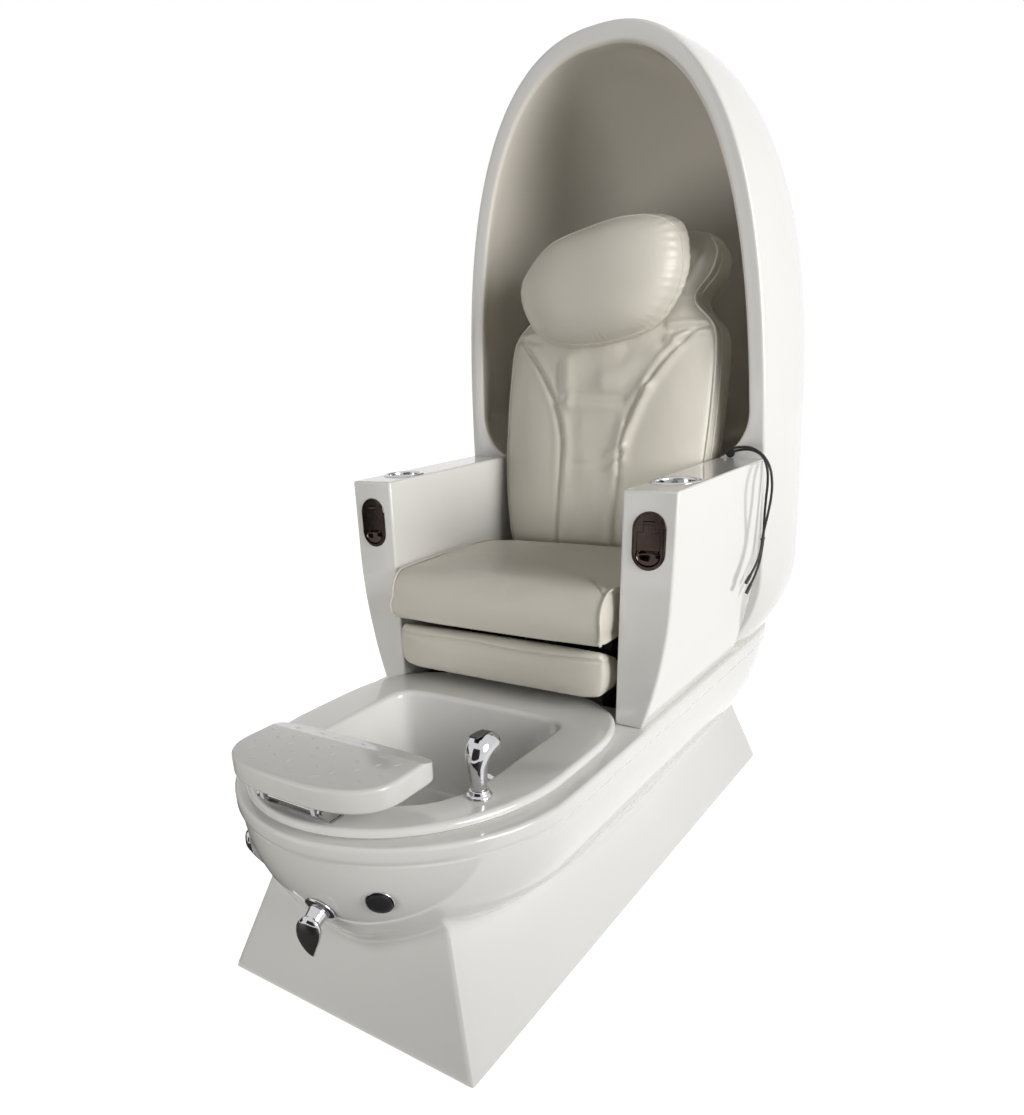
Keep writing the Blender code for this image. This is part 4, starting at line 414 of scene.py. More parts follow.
def dress(piece, slot, body, *replaced):
    """Gives a finished piece its finish and body, and says which solids it stands for."""
    piece.data.materials.clear()
    piece.data.materials.append(FINISHES[slot])
    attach(piece, body)
    if replaced:
        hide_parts(*replaced)
    return piece


def frame_at(point, z_axis, x_hint):
    """A local frame whose Z axis is given and whose X axis is as near the hint as it can be."""
    z = Vector(z_axis).normalized()
    y = z.cross(Vector(x_hint)).normalized()
    matrix = Matrix((y.cross(z), y, z)).transposed().to_4x4()
    matrix.translation = Vector(point)
    return matrix


def lifted(place, z):
    """A frame moved along its own Z axis."""
    return place @ Matrix.Translation((0, 0, z))


def round_ring(radius, place, steps=64):
    turns = [2 * math.pi * i / steps for i in range(steps)]
    return [place @ Vector((radius * math.cos(turn), radius * math.sin(turn), 0)) for turn in turns]


def turned(name, profile, place, steps=64, degrees=35.0):
    """A turned piece from (radius, height) pairs that run down its outer side."""
    rings = [round_ring(max(radius, 0.000001), lifted(place, z), steps) for radius, z in profile]
    if profile[0][0] > 0 and profile[-1][0] > 0:
        rings.append(rings[0])
    return skin(name, rings, (False, False), degrees)


def drill(name, radius, place, low, high, steps):
    """A round cutter between two heights of its own frame."""
    return skin(name, [round_ring(radius, lifted(place, z), steps) for z in (low, high)])


def clamp(value):
    return min(max(value, 0.0), 1.0)


def power(value, exponent):
    return math.copysign(abs(value) ** exponent, value)


def quarter(steps):
    """Cosine and sine at even steps of a quarter turn, for rounded edges."""
    turns = [math.pi / 2 * i / steps for i in range(steps + 1)]
    return [(math.cos(turn), math.sin(turn)) for turn in turns]


def spline(a, b, c, d, t):
    """A point between b and c on a smooth curve through four points."""
    return 0.5 * ((2 * b) + (c - a) * t + (2 * a - 5 * b + 4 * c - d) * t ** 2
                  + (3 * b - a - 3 * c + d) * t ** 3)


def bend(knots, steps):
    """Smooth in-between values through rows of numbers."""
    rows = [Vector(knot) for knot in knots]
    ends = [2 * rows[0] - rows[1]] + rows + [2 * rows[-1] - rows[-2]]
    made = []
    for four in zip(ends, ends[1:], ends[2:], ends[3:]):
        made += [spline(*four, i / steps) for i in range(steps)]
    return made + [rows[-1]]


def oval(half_width, nose, nose_centre, stern_centre, stern, nose_power, stern_power, z, count=128):
    """A level ring: straight sides between two rounded ends."""
    half = count // 2
    ring = []
    for i in range(half):
        angle = math.pi * i / (half - 1)
        x = half_width * power(math.cos(angle), 2 / stern_power)
        y = stern_centre + (stern - stern_centre) * power(math.sin(angle), 2 / stern_power)
        ring.append(Vector((x, y, z)))
    for i in range(half):
        angle = math.pi * i / (half - 1)
        x = -half_width * power(math.cos(angle), 2 / nose_power)
        y = nose_centre - (nose_centre - nose) * power(math.sin(angle), 2 / nose_power)
        ring.append(Vector((x, y, z)))
    return ring


# Hull and pedestal

RAY_STEPS = 20              # rays from each side of the outline to its corner
RAY_SPREAD = 0.4            # rays are even where the length is shortened by this
CORNER_CROWD = 1.5          # how much closer rays stand at the pedestal's corners
PEDESTAL_ROUND = 0.005
FILLET = 0.036              # reach of the soft joint between hull and pedestal
PEDESTAL_TOP = 0.35         # above this height the hull is wider all round
FOOT_EASE = 0.0015
FOOT_LEVELS = (0.02, 0.04, 0.06, 0.08, 0.10)
HULL_STEPS = 40
BAND_GROOVE = 0.010         # height of the shadow gap under the band
GROOVE_INSET = BAND_STEP + 0.003
BAND_EDGE = (               # height over the band's lower edge, and inset
    (0.0025 - BAND_GROOVE, GROOVE_INSET), (0.0, GROOVE_INSET), (0.0002, 0.0006), (0.0010, 0.0),
    (0.008, 0.0), (0.020, 0.0),
)
VALVE_HOLE = 0.0085
SWITCH_HOLE = 0.019
BOWL_POWERS = (2.4, 6.0)
LIP_POWERS = (2.0, 3.0)
LIP_ROUND = 0.010
LIP_FLAT = 0.030            # how far in the lip's top stays level
LIP_UNDERSIDE = (           # inset of the undercut lip, and height over the deck
    (0.014, 0.0), (0.013, 0.003), (0.004, 0.005), (0.0, 0.009),
)


def hull_shape(z, inset):
    """Half-width, half-length, nose centre, stern centre and nose power of the hull at a height."""
    depth = min(max(BAND_BOTTOM - z, 0.0) / HULL_DRAFT, 1.0)
    wide = math.sqrt(1 - depth ** 2)
    long = 1 - END_SHRINK * (1 - wide)
    narrowing = 1 - wide
    nose_centre = -(HULL_HALF_LENGTH - HULL_NOSE) * long + NOSE_RUN * min(narrowing, NOSE_LIMIT) ** 2
    stern_centre = (HULL_HALF_LENGTH - HULL_STERN) * long
    half_width = HULL_HALF_WIDTH * wide - inset
    length = HULL_HALF_LENGTH * long - inset
    return half_width, length, nose_centre, stern_centre, NOSE_POWER + NOSE_FILL * narrowing


def in_hull(shape):
    half_width, length, nose_centre, stern_centre, nose_power = shape

    def inside(x, y):
        share = abs(x) / half_width
        if y < nose_centre:
            return share ** nose_power + ((nose_centre - y) / (nose_centre + length)) ** nose_power < 1
        if y > stern_centre:
            return share ** STERN_POWER + ((y - stern_centre) / (length - stern_centre)) ** STERN_POWER < 1
        return share < 1

    return inside


def in_pedestal(z):
    half_x = FLOOR_HALF_WIDTH - SIDE_LEAN * z - PEDESTAL_ROUND
    half_y = FLOOR_HALF_LENGTH - END_LEAN * z - PEDESTAL_ROUND

    def inside(x, y):
        out_x = abs(x) - half_x
        out_y = abs(y) - half_y
        return math.hypot(max(out_x, 0.0), max(out_y, 0.0)) + min(max(out_x, out_y), 0.0) < PEDESTAL_ROUND

    return inside


def reach(inside, way):
    """Distance from the middle to an outline along a ray."""
    low = 0.0
    high = 1.2
    for _ in range(26):
        middle = (low + high) / 2
        if inside(way[0] * middle, way[1] * middle):
            low = middle
        else:
            high = middle
    return low


def rays(z):
    """Directions from the middle of the pedestal, closest together at its corners."""
    corner = math.atan2((FLOOR_HALF_LENGTH - END_LEAN * z) * RAY_SPREAD, FLOOR_HALF_WIDTH - SIDE_LEAN * z)
    right_angle = math.pi / 2
    ways = []
    for side in range(4):
        near = corner if side % 2 == 0 else right_angle - corner
        for start, span, closing in ((0.0, near, True), (near, right_angle - near, False)):
            for i in range(RAY_STEPS):
                share = i / RAY_STEPS
                share = 1 - (1 - share) ** CORNER_CROWD if closing else share ** CORNER_CROWD
                angle = side * right_angle + start + span * share
                ways.append(Vector((math.cos(angle), math.sin(angle) / RAY_SPREAD, 0.0)).normalized())
    return ways


def shell_ring(z, level, inset, crease=0.0):
    """Outline of the hull joined to the pedestal, with a fillet between them."""
    shape = hull_shape(z, inset)
    hull = in_hull(shape) if shape[0] > 0.01 else None
    foot = in_pedestal(z) if z < PEDESTAL_TOP else None
    ring = []
    for way in rays(z):
        far = reach(hull, way) if hull else 0.0
        if foot:
            near = reach(foot, way)
            soft = max(FILLET - abs(far - near), 0.0) / FILLET
            far = max(far, near) + soft ** 2 * FILLET / 4
        ring.append(Vector((way.x * (far - crease), way.y * (far - crease), level)))
    return ring


def bowl_ring(inset, z):
    return oval(BOWL_HALF_WIDTH - inset, BOWL_FRONT + inset, BOWL_NOSE_CENTRE, LIP_REAR_CENTRE,
                BOWL_REAR - inset, *BOWL_POWERS, z)


def lip_ring(inset, z):
    return oval(LIP_HALF_WIDTH - inset, LIP_FRONT + inset, LIP_NOSE_CENTRE, LIP_REAR_CENTRE,
                LIP_REAR - inset, *LIP_POWERS, z)


def nose_point(degrees, z):
    half_width, length, nose_centre, _, nose_power = hull_shape(z, BAND_STEP)
    angle = math.radians(degrees)
    x = half_width * power(math.sin(angle), 2 / nose_power)
    y = nose_centre - (length + nose_centre) * power(math.cos(angle), 2 / nose_power)
    return Vector((x, y, z))


def nose_frame(degrees, z):
    """A frame on the hull's nose: Z outward, X level."""
    across = nose_point(degrees + 0.5, z) - nose_point(degrees - 0.5, z)
    upward = nose_point(degrees, z + 0.002) - nose_point(degrees, z - 0.002)
    return frame_at(nose_point(degrees, z), across.cross(upward), across)


def make_base_shell():
    """Pedestal and hull in one moulding, with the band round the deck."""
    start = FOOT_LEVELS[-1]
    climb = BAND_BOTTOM - BAND_GROOVE - start
    levels = [FOOT_EASE, *FOOT_LEVELS] + [start + climb * i / HULL_STEPS for i in range(1, HULL_STEPS + 1)]
    rings = [shell_ring(0.0, 0.0, BAND_STEP, FOOT_EASE)]
    rings += [shell_ring(z, z, BAND_STEP) for z in levels]
    for level, inset in BAND_EDGE:
        rings.append(shell_ring(BAND_BOTTOM + min(level, 0.0), BAND_BOTTOM + level, inset))
    for run, rise in quarter(5)[1:]:
        rings.append(shell_ring(BAND_BOTTOM, DECK_Z - BAND_ROUND * (1 - rise), BAND_ROUND * (1 - run)))
    shell = skin("base_moulding", rings, (False, True), 40.0)
    apply_modifier(shell, "SOLIDIFY", thickness=SHELL_WALL * 0.8, offset=-1.0)
    cutters = [skin("bowl_hole", [bowl_ring(-BASIN_WALL - 0.004, z) for z in (DECK_Z - 0.05, DECK_Z + 0.05)])]
    for place, radius in ((FRONT_VALVE, VALVE_HOLE), (SIDE_VALVE, VALVE_HOLE), (JET_SWITCH, SWITCH_HOLE)):
        cutters.append(drill("nose_hole", radius, nose_frame(*place), -0.04, 0.02, 32))
    cut(shell, *cutters)
    smooth(shell, 40.0)
    return dress(shell, "gelcoat", "base", "base_shell")


# Foot basin

def make_basin():
    """From the outside of the floor up the wall, round the lip and down inside."""
    wall_top = LIP_TOP - BOWL_ROUND
    wall_low = BOWL_FLOOR_Z + BOWL_FILLET
    slope = BOWL_DRAW_IN / (wall_top - wall_low)
    low = DECK_Z + GAP
    rings = [
        bowl_ring(BOWL_DRAW_IN + BOWL_FILLET - BASIN_WALL, BOWL_FLOOR_Z - BASIN_WALL),
        bowl_ring(BOWL_DRAW_IN - BASIN_WALL, wall_low),
        bowl_ring(slope * (wall_top - low) - BASIN_WALL, low),
    ]
    rings += [lip_ring(inset, low + rise) for inset, rise in LIP_UNDERSIDE]
    rings += [lip_ring(LIP_ROUND * (1 - run), LIP_TOP - LIP_ROUND * (1 - rise)) for run, rise in quarter(6)]
    rings.append(lip_ring(LIP_FLAT, LIP_TOP))
    for run, rise in quarter(6):
        rings.append(bowl_ring(-BOWL_ROUND * (1 - rise), LIP_TOP - BOWL_ROUND * (1 - run)))
    for run, rise in quarter(8):
        rings.append(bowl_ring(BOWL_DRAW_IN + BOWL_FILLET * (1 - run), wall_low - BOWL_FILLET * rise))
    basin = skin("basin_moulding", rings, (True, True), 40.0)
    drain = Matrix.Translation((0.0, DRAIN_Y, BOWL_FLOOR_Z))
    cut(basin, drill("drain_hole", DRAIN_BORE, drain, -0.02, 0.02, 48))
    smooth(basin, 40.0)
    return dress(basin, "gelcoat", "base", "basin")


# Hood

def rim_y(z):
    return RIM_Y + RIM_LEAN * (z - ARM_TOP)


def egg_share(z, top):
    """Share of the full width that the egg keeps at a height, for an egg with the given top."""
    if z < POD_WIDEST_Z:
        drop = (POD_WIDEST_Z - z) / (POD_WIDEST_Z - DECK_Z)
        return 1 - (1 - POD_FOOT_HALF_WIDTH / (RIM_HALF_WIDTH * POD_BULGE)) * drop ** 2
    rise = min((z - POD_WIDEST_Z) / (top - POD_WIDEST_Z), 1.0)
    return (1 - RIM_TAPER * rise) * (1 - rise ** CROWN_POWER) ** CROWN_ROOT


def back_y(z, top):
    """Rearmost line of the egg at a height."""
    if z < POD_BACK_Z:
        drop = (POD_BACK_Z - z) / (POD_BACK_Z - DECK_Z)
        return POD_BACK - (POD_BACK - POD_FOOT_BACK) * drop ** 2
    rise = min((z - POD_BACK_Z) / (top - POD_BACK_Z), 1.0)
    return rim_y(top) + (POD_BACK - rim_y(top)) * (1 - rise ** 2.6) ** 0.4545


def shoulder(z, full):
    """Half-width of the opening where it rounds in to the armrests."""
    rise = clamp((z - SHOULDER_Z) / SHOULDER_RISE)
    narrow = ARM_INNER + 0.002
    return narrow + (full - narrow) * (1 - (1 - rise) ** 2) ** 0.75


POD_CENTRE = 1.12           # height that the hood's outlines are drawn round
POD_RAYS = 240
DECK_RAYS = 12
POD_RINGS = 56
POD_FLOOR = 0.005           # the moulding's floor on the deck
RIM_EDGE = 0.005            # rounding of the rim's outer edge
RIM_INNER_EDGE = 0.009
GROMMET_HOLE = 0.0075
POD_MIDDLE = Vector((0.0, 0.5, 1.0))


def hood_limit(inner, z, run):
    """Half-width of the hood at a height and a distance behind its rim, below 0 where there is none."""
    top = POD_TOP - RIM_BAND if inner else POD_TOP
    if z >= top:
        return -1.0
    back = back_y(z, top) - rim_y(z)
    half = RIM_HALF_WIDTH * egg_share(z, top)
    wide = half * POD_BULGE
    if inner:
        back -= POD_WALL
        egg = half * (1 - RIM_INSET / RIM_HALF_WIDTH)
        half = shoulder(z, egg)
        blend = clamp((z - SHOULDER_Z) / SHOULDER_RISE)
        wide = half + max(wide - POD_WALL - half, 0.0) * blend
    if run <= 0.0:
        return half
    if run >= back:
        return -1.0
    depth = min(POD_BULGE_DEPTH, 0.4 * back)
    if run < depth:
        return half + (wide - half) * math.sin(math.pi / 2 * run / depth)
    return wide * (1 - ((run - depth) / (back - depth)) ** POD_POWER) ** (1 / POD_POWER)


def hood_ring(inner, run, draw_in=0.0):
    """A loop behind the rim: up one side, over the crown, down the other and back along the deck."""
    low = DECK_Z + (POD_FLOOR if inner else GAP)

    def inside(x, rise):
        z = POD_CENTRE + rise
        return z > low and abs(x) < hood_limit(inner, z, run)

    foot = max(hood_limit(inner, low, run), 0.0)
    corner = math.atan2(foot, low - POD_CENTRE)
    turns = [corner * (2 * i / POD_RAYS - 1) for i in range(POD_RAYS + 1)]
    turns += [corner + (2 * math.pi - 2 * corner) * i / DECK_RAYS for i in range(1, DECK_RAYS)]
    loop = []
    for turn in turns:
        way = Vector((math.sin(turn), math.cos(turn)))
        loop.append(way * reach(inside, way))
    ring = []
    for i, point in enumerate(loop):
        along = loop[(i + 1) % len(loop)] - loop[i - 1]
        x, rise = point + Vector((along.y, -along.x)).normalized() * draw_in
        z = POD_CENTRE + rise
        ring.append(Vector((x, rim_y(z) + run, z)))
    return ring


def hood_runs(inner, edge):
    """Distances behind the rim, from its rounded edge to the back, closest together at the back."""
    back = back_y(POD_CENTRE, POD_TOP - RIM_BAND if inner else POD_TOP) - rim_y(POD_CENTRE)
    span = back - (POD_WALL if inner else 0.0) - edge
    return [edge + span * (1 - (1 - i / POD_RINGS) ** 3) for i in range(POD_RINGS)]


def make_pod():
    """Double-walled egg, open at a leaning plane; its rim is a flat band with rounded edges."""
    rings = [hood_ring(False, run) for run in reversed(hood_runs(False, RIM_EDGE))]
    edge = quarter(5)[:-1]
    rings += [hood_ring(False, RIM_EDGE * (1 - run), RIM_EDGE * (1 - rise)) for run, rise in reversed(edge)]
    rings += [hood_ring(True, RIM_INNER_EDGE * (1 - run), -RIM_INNER_EDGE * (1 - rise)) for run, rise in edge]
    rings += [hood_ring(True, run) for run in hood_runs(True, RIM_INNER_EDGE)]
    pod = skin("hood_moulding", rings, (True, True), 50.0)
    out = Vector((0.0, -1.0, RIM_LEAN))
    at = frame_at((GROMMET_X, rim_y(GROMMET_Z), GROMMET_Z), out, (1.0, 0.0, 0.0))
    cut(pod, drill("grommet_hole", GROMMET_HOLE, at, -0.014, 0.01, 32))
    smooth(pod, 50.0)
    dress(pod, "gelcoat", "base", "pod_shell")
    # The inward faces take the lighter copy: painted light inside the hood
    pod.data.materials.append(HOOD_LIT_GELCOAT)
    for face in pod.data.polygons:
        if face.normal.dot(face.center - POD_MIDDLE) < 0.0:
            face.material_index = 1


# Armrests

ARM_STEPS = 28
ARM_EASE = 0.005
HOOK_BACK = (0.050, 0.090)  # width and height of the hook's body in the armrest
HOOK_FACE = (0.062, 0.102)
HOOK_DEPTH = 0.016
CUP_WELL = (0.0381, 0.0598)


def hook_place(side):
    """A frame on the armrest's front: Z forward, X across."""
    return frame_at((side * HOOK_X, ARM_FRONT, HOOK_Z), (0.0, -1.0, 0.0), (1.0, 0.0, 0.0))


def make_armrest(name, side):
    """A box whose outer side curves in to the hull, with a well for the cup and a pocket for the hook."""
    outline = [(ARM_INNER, DECK_Z + GAP), (ARM_FOOT_OUTER, DECK_Z + GAP)]
    for i in range(1, ARM_STEPS + 1):
        share = 1 - i / ARM_STEPS
        z = ARM_CURVE_Z - (ARM_CURVE_Z - DECK_Z) * share
        outline.append((ARM_OUTER - (ARM_OUTER - ARM_FOOT_OUTER) * share ** 2, z))
    outline += [(ARM_OUTER, ARM_TOP), (ARM_INNER, ARM_TOP)]
    front = [Vector((side * x, ARM_FRONT, z)) for x, z in outline]
    rear = [Vector((side * x, rim_y(z) - GAP, z)) for x, z in outline]
    arm = skin(name + "_arm_box", [rear, front])
    ease_edges(arm, ARM_EASE, 4, math.radians(40.0))
    radius, depth = CUP_WELL
    well = drill("cup_well", radius, Matrix.Translation((side * CUP_X, CUP_Y, ARM_TOP)), -depth, 0.02, 64)
    width, height = (size + 2 * GAP for size in HOOK_BACK)
    levels = (-HOOK_DEPTH - GAP, 0.02)
    pocket = skin("hook_pocket", [stadium(width, height, lifted(hook_place(side), z)) for z in levels])
    cut(arm, well, pocket)
    smooth(arm, 30.0)
    return dress(arm, "gelcoat", "base", name + "_armrest")


def stadium(width, height, place, steps=48):
    """An upright outline with round ends."""
    radius = width / 2
    straight = height / 2 - radius
    ring = []
    for i in range(steps):
        angle = 2 * math.pi * (i + 0.5) / steps
        lift = straight if angle < math.pi else -straight
        ring.append(place @ Vector((radius * math.cos(angle), radius * math.sin(angle) + lift, 0.0)))
    return ring


# Cushions

CUSHION_HALF_WIDTH = 0.247
CUSHION_FRONT = -0.210
CUSHION_REAR = 0.184
CUSHION_LOW = 0.595
CUSHION_THICK = 0.089
CUSHION_CROWN = 0.016
CUSHION_ROLL = 0.045
APRON_HALF_WIDTH = 0.245
APRON_LOW = 0.483
APRON_HIGH = 0.583
APRON_FRONT = -0.199
APRON_REAR = -0.1153
APRON_FALL = 0.030          # drop of the apron's top behind its front edge
BACK_LOW = -0.014
BACK_HIGH = 0.680
BACK_REAR = 0.0153
BACK_DEPTH = 0.128
BACK_CROWN = 0.022
BACK_HALF_WIDTH = 0.245
PILLOW_V = 0.578
PILLOW_REAR = 0.1655
PILLOW_DEPTH = 0.090
PIPING = 0.0028
SEAM = 0.0014
PRESSURE = 4.0
SWELL_FRAMES = 20


def groove(distance, width):
    return math.exp(-(distance / width) ** 2)


def block(name, cols, rows, levels, shape):
    """A flat grid extruded into a block, then set to its shape.

    The shape is given u and v from -1 to 1 across the show side, and t from 0 there to 1 on the hidden side.
    """
    clear_selection()
    bpy.ops.mesh.primitive_grid_add(x_subdivisions=cols, y_subdivisions=rows, size=2.0)
    piece = bpy.context.object
    piece.name = name
    piece.data.name = name
    bpy.ops.object.mode_set(mode="EDIT")
    bpy.ops.mesh.select_all(action="SELECT")
    for _ in range(levels):
        bpy.ops.mesh.extrude_region_move(TRANSFORM_OT_translate={"value": (0.0, 0.0, -1.0 / levels)})
    bpy.ops.object.mode_set(mode="OBJECT")
    for vert in piece.data.vertices:
        u, v, depth = vert.co
        vert.co = shape(u, v, -depth)
    bpy.ops.object.mode_set(mode="EDIT")
    bpy.ops.mesh.select_all(action="SELECT")
    bpy.ops.mesh.normals_make_consistent(inside=False)
    bpy.ops.object.mode_set(mode="OBJECT")
    return piece


def fill(piece, voxel, cap, sewn, settle):
    """Blows a cushion up a little where it isn't sewn, then presses in its seams and folds."""
    apply_modifier(piece, "REMESH", mode="VOXEL", voxel_size=voxel)
    flat = [vert.co.copy() for vert in piece.data.vertices]
    held = piece.vertex_groups.new(name="sewn")
    for vert in piece.data.vertices:
        held.add([vert.index], clamp(sewn(vert.co)), "REPLACE")
    cloth = piece.modifiers.new("filling", "CLOTH")
    cloth.settings.quality = 4
    cloth.settings.use_pressure = True
    cloth.settings.uniform_pressure_force = PRESSURE
    cloth.settings.vertex_group_mass = held.name
    cloth.settings.effector_weights.gravity = 0.0
    cloth.collision_settings.use_collision = False
    cloth.point_cache.frame_end = SWELL_FRAMES
    for number in range(1, SWELL_FRAMES + 1):
        bpy.context.scene.frame_set(number)
    pick(piece)
    bpy.ops.object.modifier_apply(modifier=cloth.name)
    bpy.context.scene.frame_set(1)
    for vert, start in zip(piece.data.vertices, flat):
        move = vert.co - start
        if move.length > cap:
            vert.co = start + move * (cap / move.length)
    apply_modifier(piece, "SUBSURF", levels=1, render_levels=1)
    for vert in piece.data.vertices:
        vert.co = settle(vert.co)
    piece.data.shade_smooth()


def tube(name, points, radius, steps=10):
    """A round cord along points, with closed ends."""
    rings = []
    across = None
    for i, point in enumerate(points):
        heading = (points[min(i + 1, len(points) - 1)] - points[max(i - 1, 0)]).normalized()
        if across is None:
            across = heading.orthogonal().normalized()
        across = (across - heading * across.dot(heading)).normalized()
        place = frame_at(point, heading, across)
        rings.append(round_ring(radius, place, steps))
    return skin(name, rings, (True, True), 60.0)


def sew(name, points, radius, body):
    """A cord of leather along points: piping or a seam."""
    dress(tube(name, points, radius), "cream_leather", body)


def laid(piece, starts, way):
    """Points on a finished cushion, found from outside it along one way."""
    bpy.context.view_layer.update()
    hits = (piece.ray_cast(start, way) for start in starts)
    return [spot for hit, spot, _, _ in hits if hit]


def squared(u, v, share):
    """Maps the square of u and v onto a square with softened corners."""
    return u * math.sqrt(1 - share * v * v), v * math.sqrt(1 - share * u * u)


# Seat cushion and apron

CREASE_START = Vector((0.150, -0.090))
CREASE_END = Vector((0.236, -0.176))
CREASE_DEPTH = 0.0026
CREASE_WIDTH = 0.0045
WELT_Z = 0.563
WELT_STEPS = 80


def seat_top(u, y):
    """Height of the seat's top over its lower face, for shares across and along."""
    half_length = (CUSHION_REAR - CUSHION_FRONT) / 2
    into_roll = max(CUSHION_ROLL - half_length * (1 + y), 0.0)
    roll = CUSHION_ROLL - math.sqrt(CUSHION_ROLL ** 2 - into_roll ** 2)
    return CUSHION_THICK + CUSHION_CROWN * (1 - 0.3 * u ** 8) * (1 - 0.3 * y ** 8) - roll


def seat_shape(u, v, t):
    y = 2 * ((v + 1) / 2) ** 1.4 - 1
    wide, long = squared(u, y, 0.05)
    middle = (CUSHION_FRONT + CUSHION_REAR) / 2
    half_length = (CUSHION_REAR - CUSHION_FRONT) / 2
    top = seat_top(u, y)
    low = 0.004 * max(abs(u), abs(y)) ** 12
    swell = 0.005 * math.sin(math.pi * t) - 0.005 * t ** 8
    grow_x = swell if abs(u) > 0.999 else 0.0
    grow_y = swell + 0.003 * t if abs(v) > 0.999 else 0.0
    return Vector((CUSHION_HALF_WIDTH * wide + math.copysign(grow_x, u),
                   middle + half_length * long + math.copysign(grow_y, v),
                   CUSHION_LOW + top + (low - top) * t))


def seat_edge(side, count=60):
    """The side seam: up the front corner, over the roll and back along the top."""
    points = [seat_shape(side, -1.0, 1 - 0.94 * i / 8) for i in range(9)]
    points += [seat_shape(side, -1 + 2 * i / count, 0.0) for i in range(1, count + 1)]
    return [point + Vector((side * 0.0012, 0.0, 0.0016)) for point in points]


def seat_settle(point):
    """Shallow sags in the top, and a short crease beside the left front corner."""
    on_top = clamp((point.z - CUSHION_LOW - 0.045) / 0.02)
    sag = 0.0022 * noise.noise(point * 9.0) + 0.0008 * noise.noise(point * 31.0)
    way = CREASE_END - CREASE_START
    flat = Vector((point.x, point.y)) - CREASE_START
    share = clamp(flat.dot(way) / way.length_squared)
    off = flat - way * share
    aside = off.x * way.y - off.y * way.x
    crease = CREASE_DEPTH * groove(off.length, CREASE_WIDTH) * share * (1 if aside < 0 else -1)
    return point + Vector((0.0, 0.0, on_top * (sag + crease)))


def make_seat_cushion():
    seat = block("seat_padding", 60, 48, 8, seat_shape)

    def sewn(point):
        edge = CUSHION_HALF_WIDTH - abs(point.x)
        return max(groove(edge, 0.012), 1.0 if point.z < CUSHION_LOW + 0.012 else 0.0)

    fill(seat, 0.006, 0.004, sewn, seat_settle)
    dress(seat, "cream_leather", "carriage", "seat_cushion")
    for name, side in SIDES:
        sew(name + "_seat_piping", seat_edge(side), PIPING, "carriage")


def apron_shape(u, v, t):
    """The show side faces forward; its sides run back round the seat board."""
    x, y = squared(u, v, 0.07)
    crown = 0.005 * (1 - u ** 6) * (1 - v ** 4) - 0.008 * abs(u) ** 14 - 0.006 * abs(v) ** 14
    front = APRON_FRONT + 0.005 - crown
    z = (APRON_LOW + APRON_HIGH) / 2 + (APRON_HIGH - APRON_LOW) / 2 * y - APRON_FALL * t * max(y, 0.0)
    if v < -0.5:
        z += 0.006 * abs(u) ** 10
    return Vector((APRON_HALF_WIDTH * x, front + (APRON_REAR - front) * t, z))


def welt_z(x):
    """Height of the welt across the apron, which wanders a little."""
    return WELT_Z - 0.002 * math.sin(x * 21.0)


def apron_settle(point):
    """A welt seam below the top edge, and slow waves in the stretched cover."""
    front = clamp((APRON_FRONT + 0.030 - point.y) / 0.02)
    above = point.z - welt_z(point.x)
    press = 0.0035 * groove(above, 0.0030) - 0.0016 * groove(above - 0.007, 0.005)
    wave = 0.0014 * noise.noise(Vector((point.x * 7.0, 2.0, point.z * 26.0)))
    corner = clamp((abs(point.x) - APRON_HALF_WIDTH + 0.012) / 0.01)
    return point + Vector((math.copysign(-press * corner, point.x), front * (press + wave), 0.0))


def make_apron():
    apron = block("apron_padding", 70, 24, 8, apron_shape)

    def sewn(point):
        return max(groove(point.z - WELT_Z, 0.006), 1.0 if point.y > APRON_REAR - 0.010 else 0.0)

    fill(apron, 0.006, 0.005, sewn, apron_settle)
    dress(apron, "cream_leather", "carriage", "seat_apron")
    reach_x = APRON_HALF_WIDTH - 0.008
    across = [reach_x * (2 * i / WELT_STEPS - 1) for i in range(WELT_STEPS + 1)]
    starts = [Vector((x, APRON_FRONT - 0.1, welt_z(x))) for x in across]
    sew("apron_welt", laid(apron, starts, Vector((0.0, 1.0, 0.0))), SEAM, "carriage")


# Backrest and pillow

def back_frame():
    """The backrest's own frame: X across, Y up the back, Z forward."""
    forward = (0.0, -math.cos(BACK_LEAN), math.sin(BACK_LEAN))
    return frame_at((0.0, BACK_HINGE_Y, BACK_HINGE_Z), forward, (1.0, 0.0, 0.0))


BACK_PLACE = back_frame()
BACK_INVERSE = BACK_PLACE.inverted()
BACK_FORWARD = BACK_PLACE.col[2].to_3d()
BACK_SEAM_LOW = 0.02
BACK_SEAM_LENGTH = 0.47
SEAM_STEPS = 90


def back_share(v):
    return (v - BACK_LOW) / (BACK_HIGH - BACK_LOW)


def back_half_width(v):
    """Half-width up the backrest: waist, shoulders, a notch, then the ears beside the pillow."""
    share = back_share(v)
    waist = 0.20 * max(0.4 - share, 0.0) ** 2
    shoulders = 0.09 * max(share - 0.45, 0.0) ** 2
    notch = 0.048 * groove(share - 0.805, 0.055)
    ears = 0.030 * max(share - 0.93, 0.0) / 0.07
    return BACK_HALF_WIDTH - waist - shoulders - notch - ears


def seam_x(v):
    """Half-distance between the two curved seams of the middle panel."""
    return 0.072 + 2.2 * max(v - 0.24, 0.0) ** 2


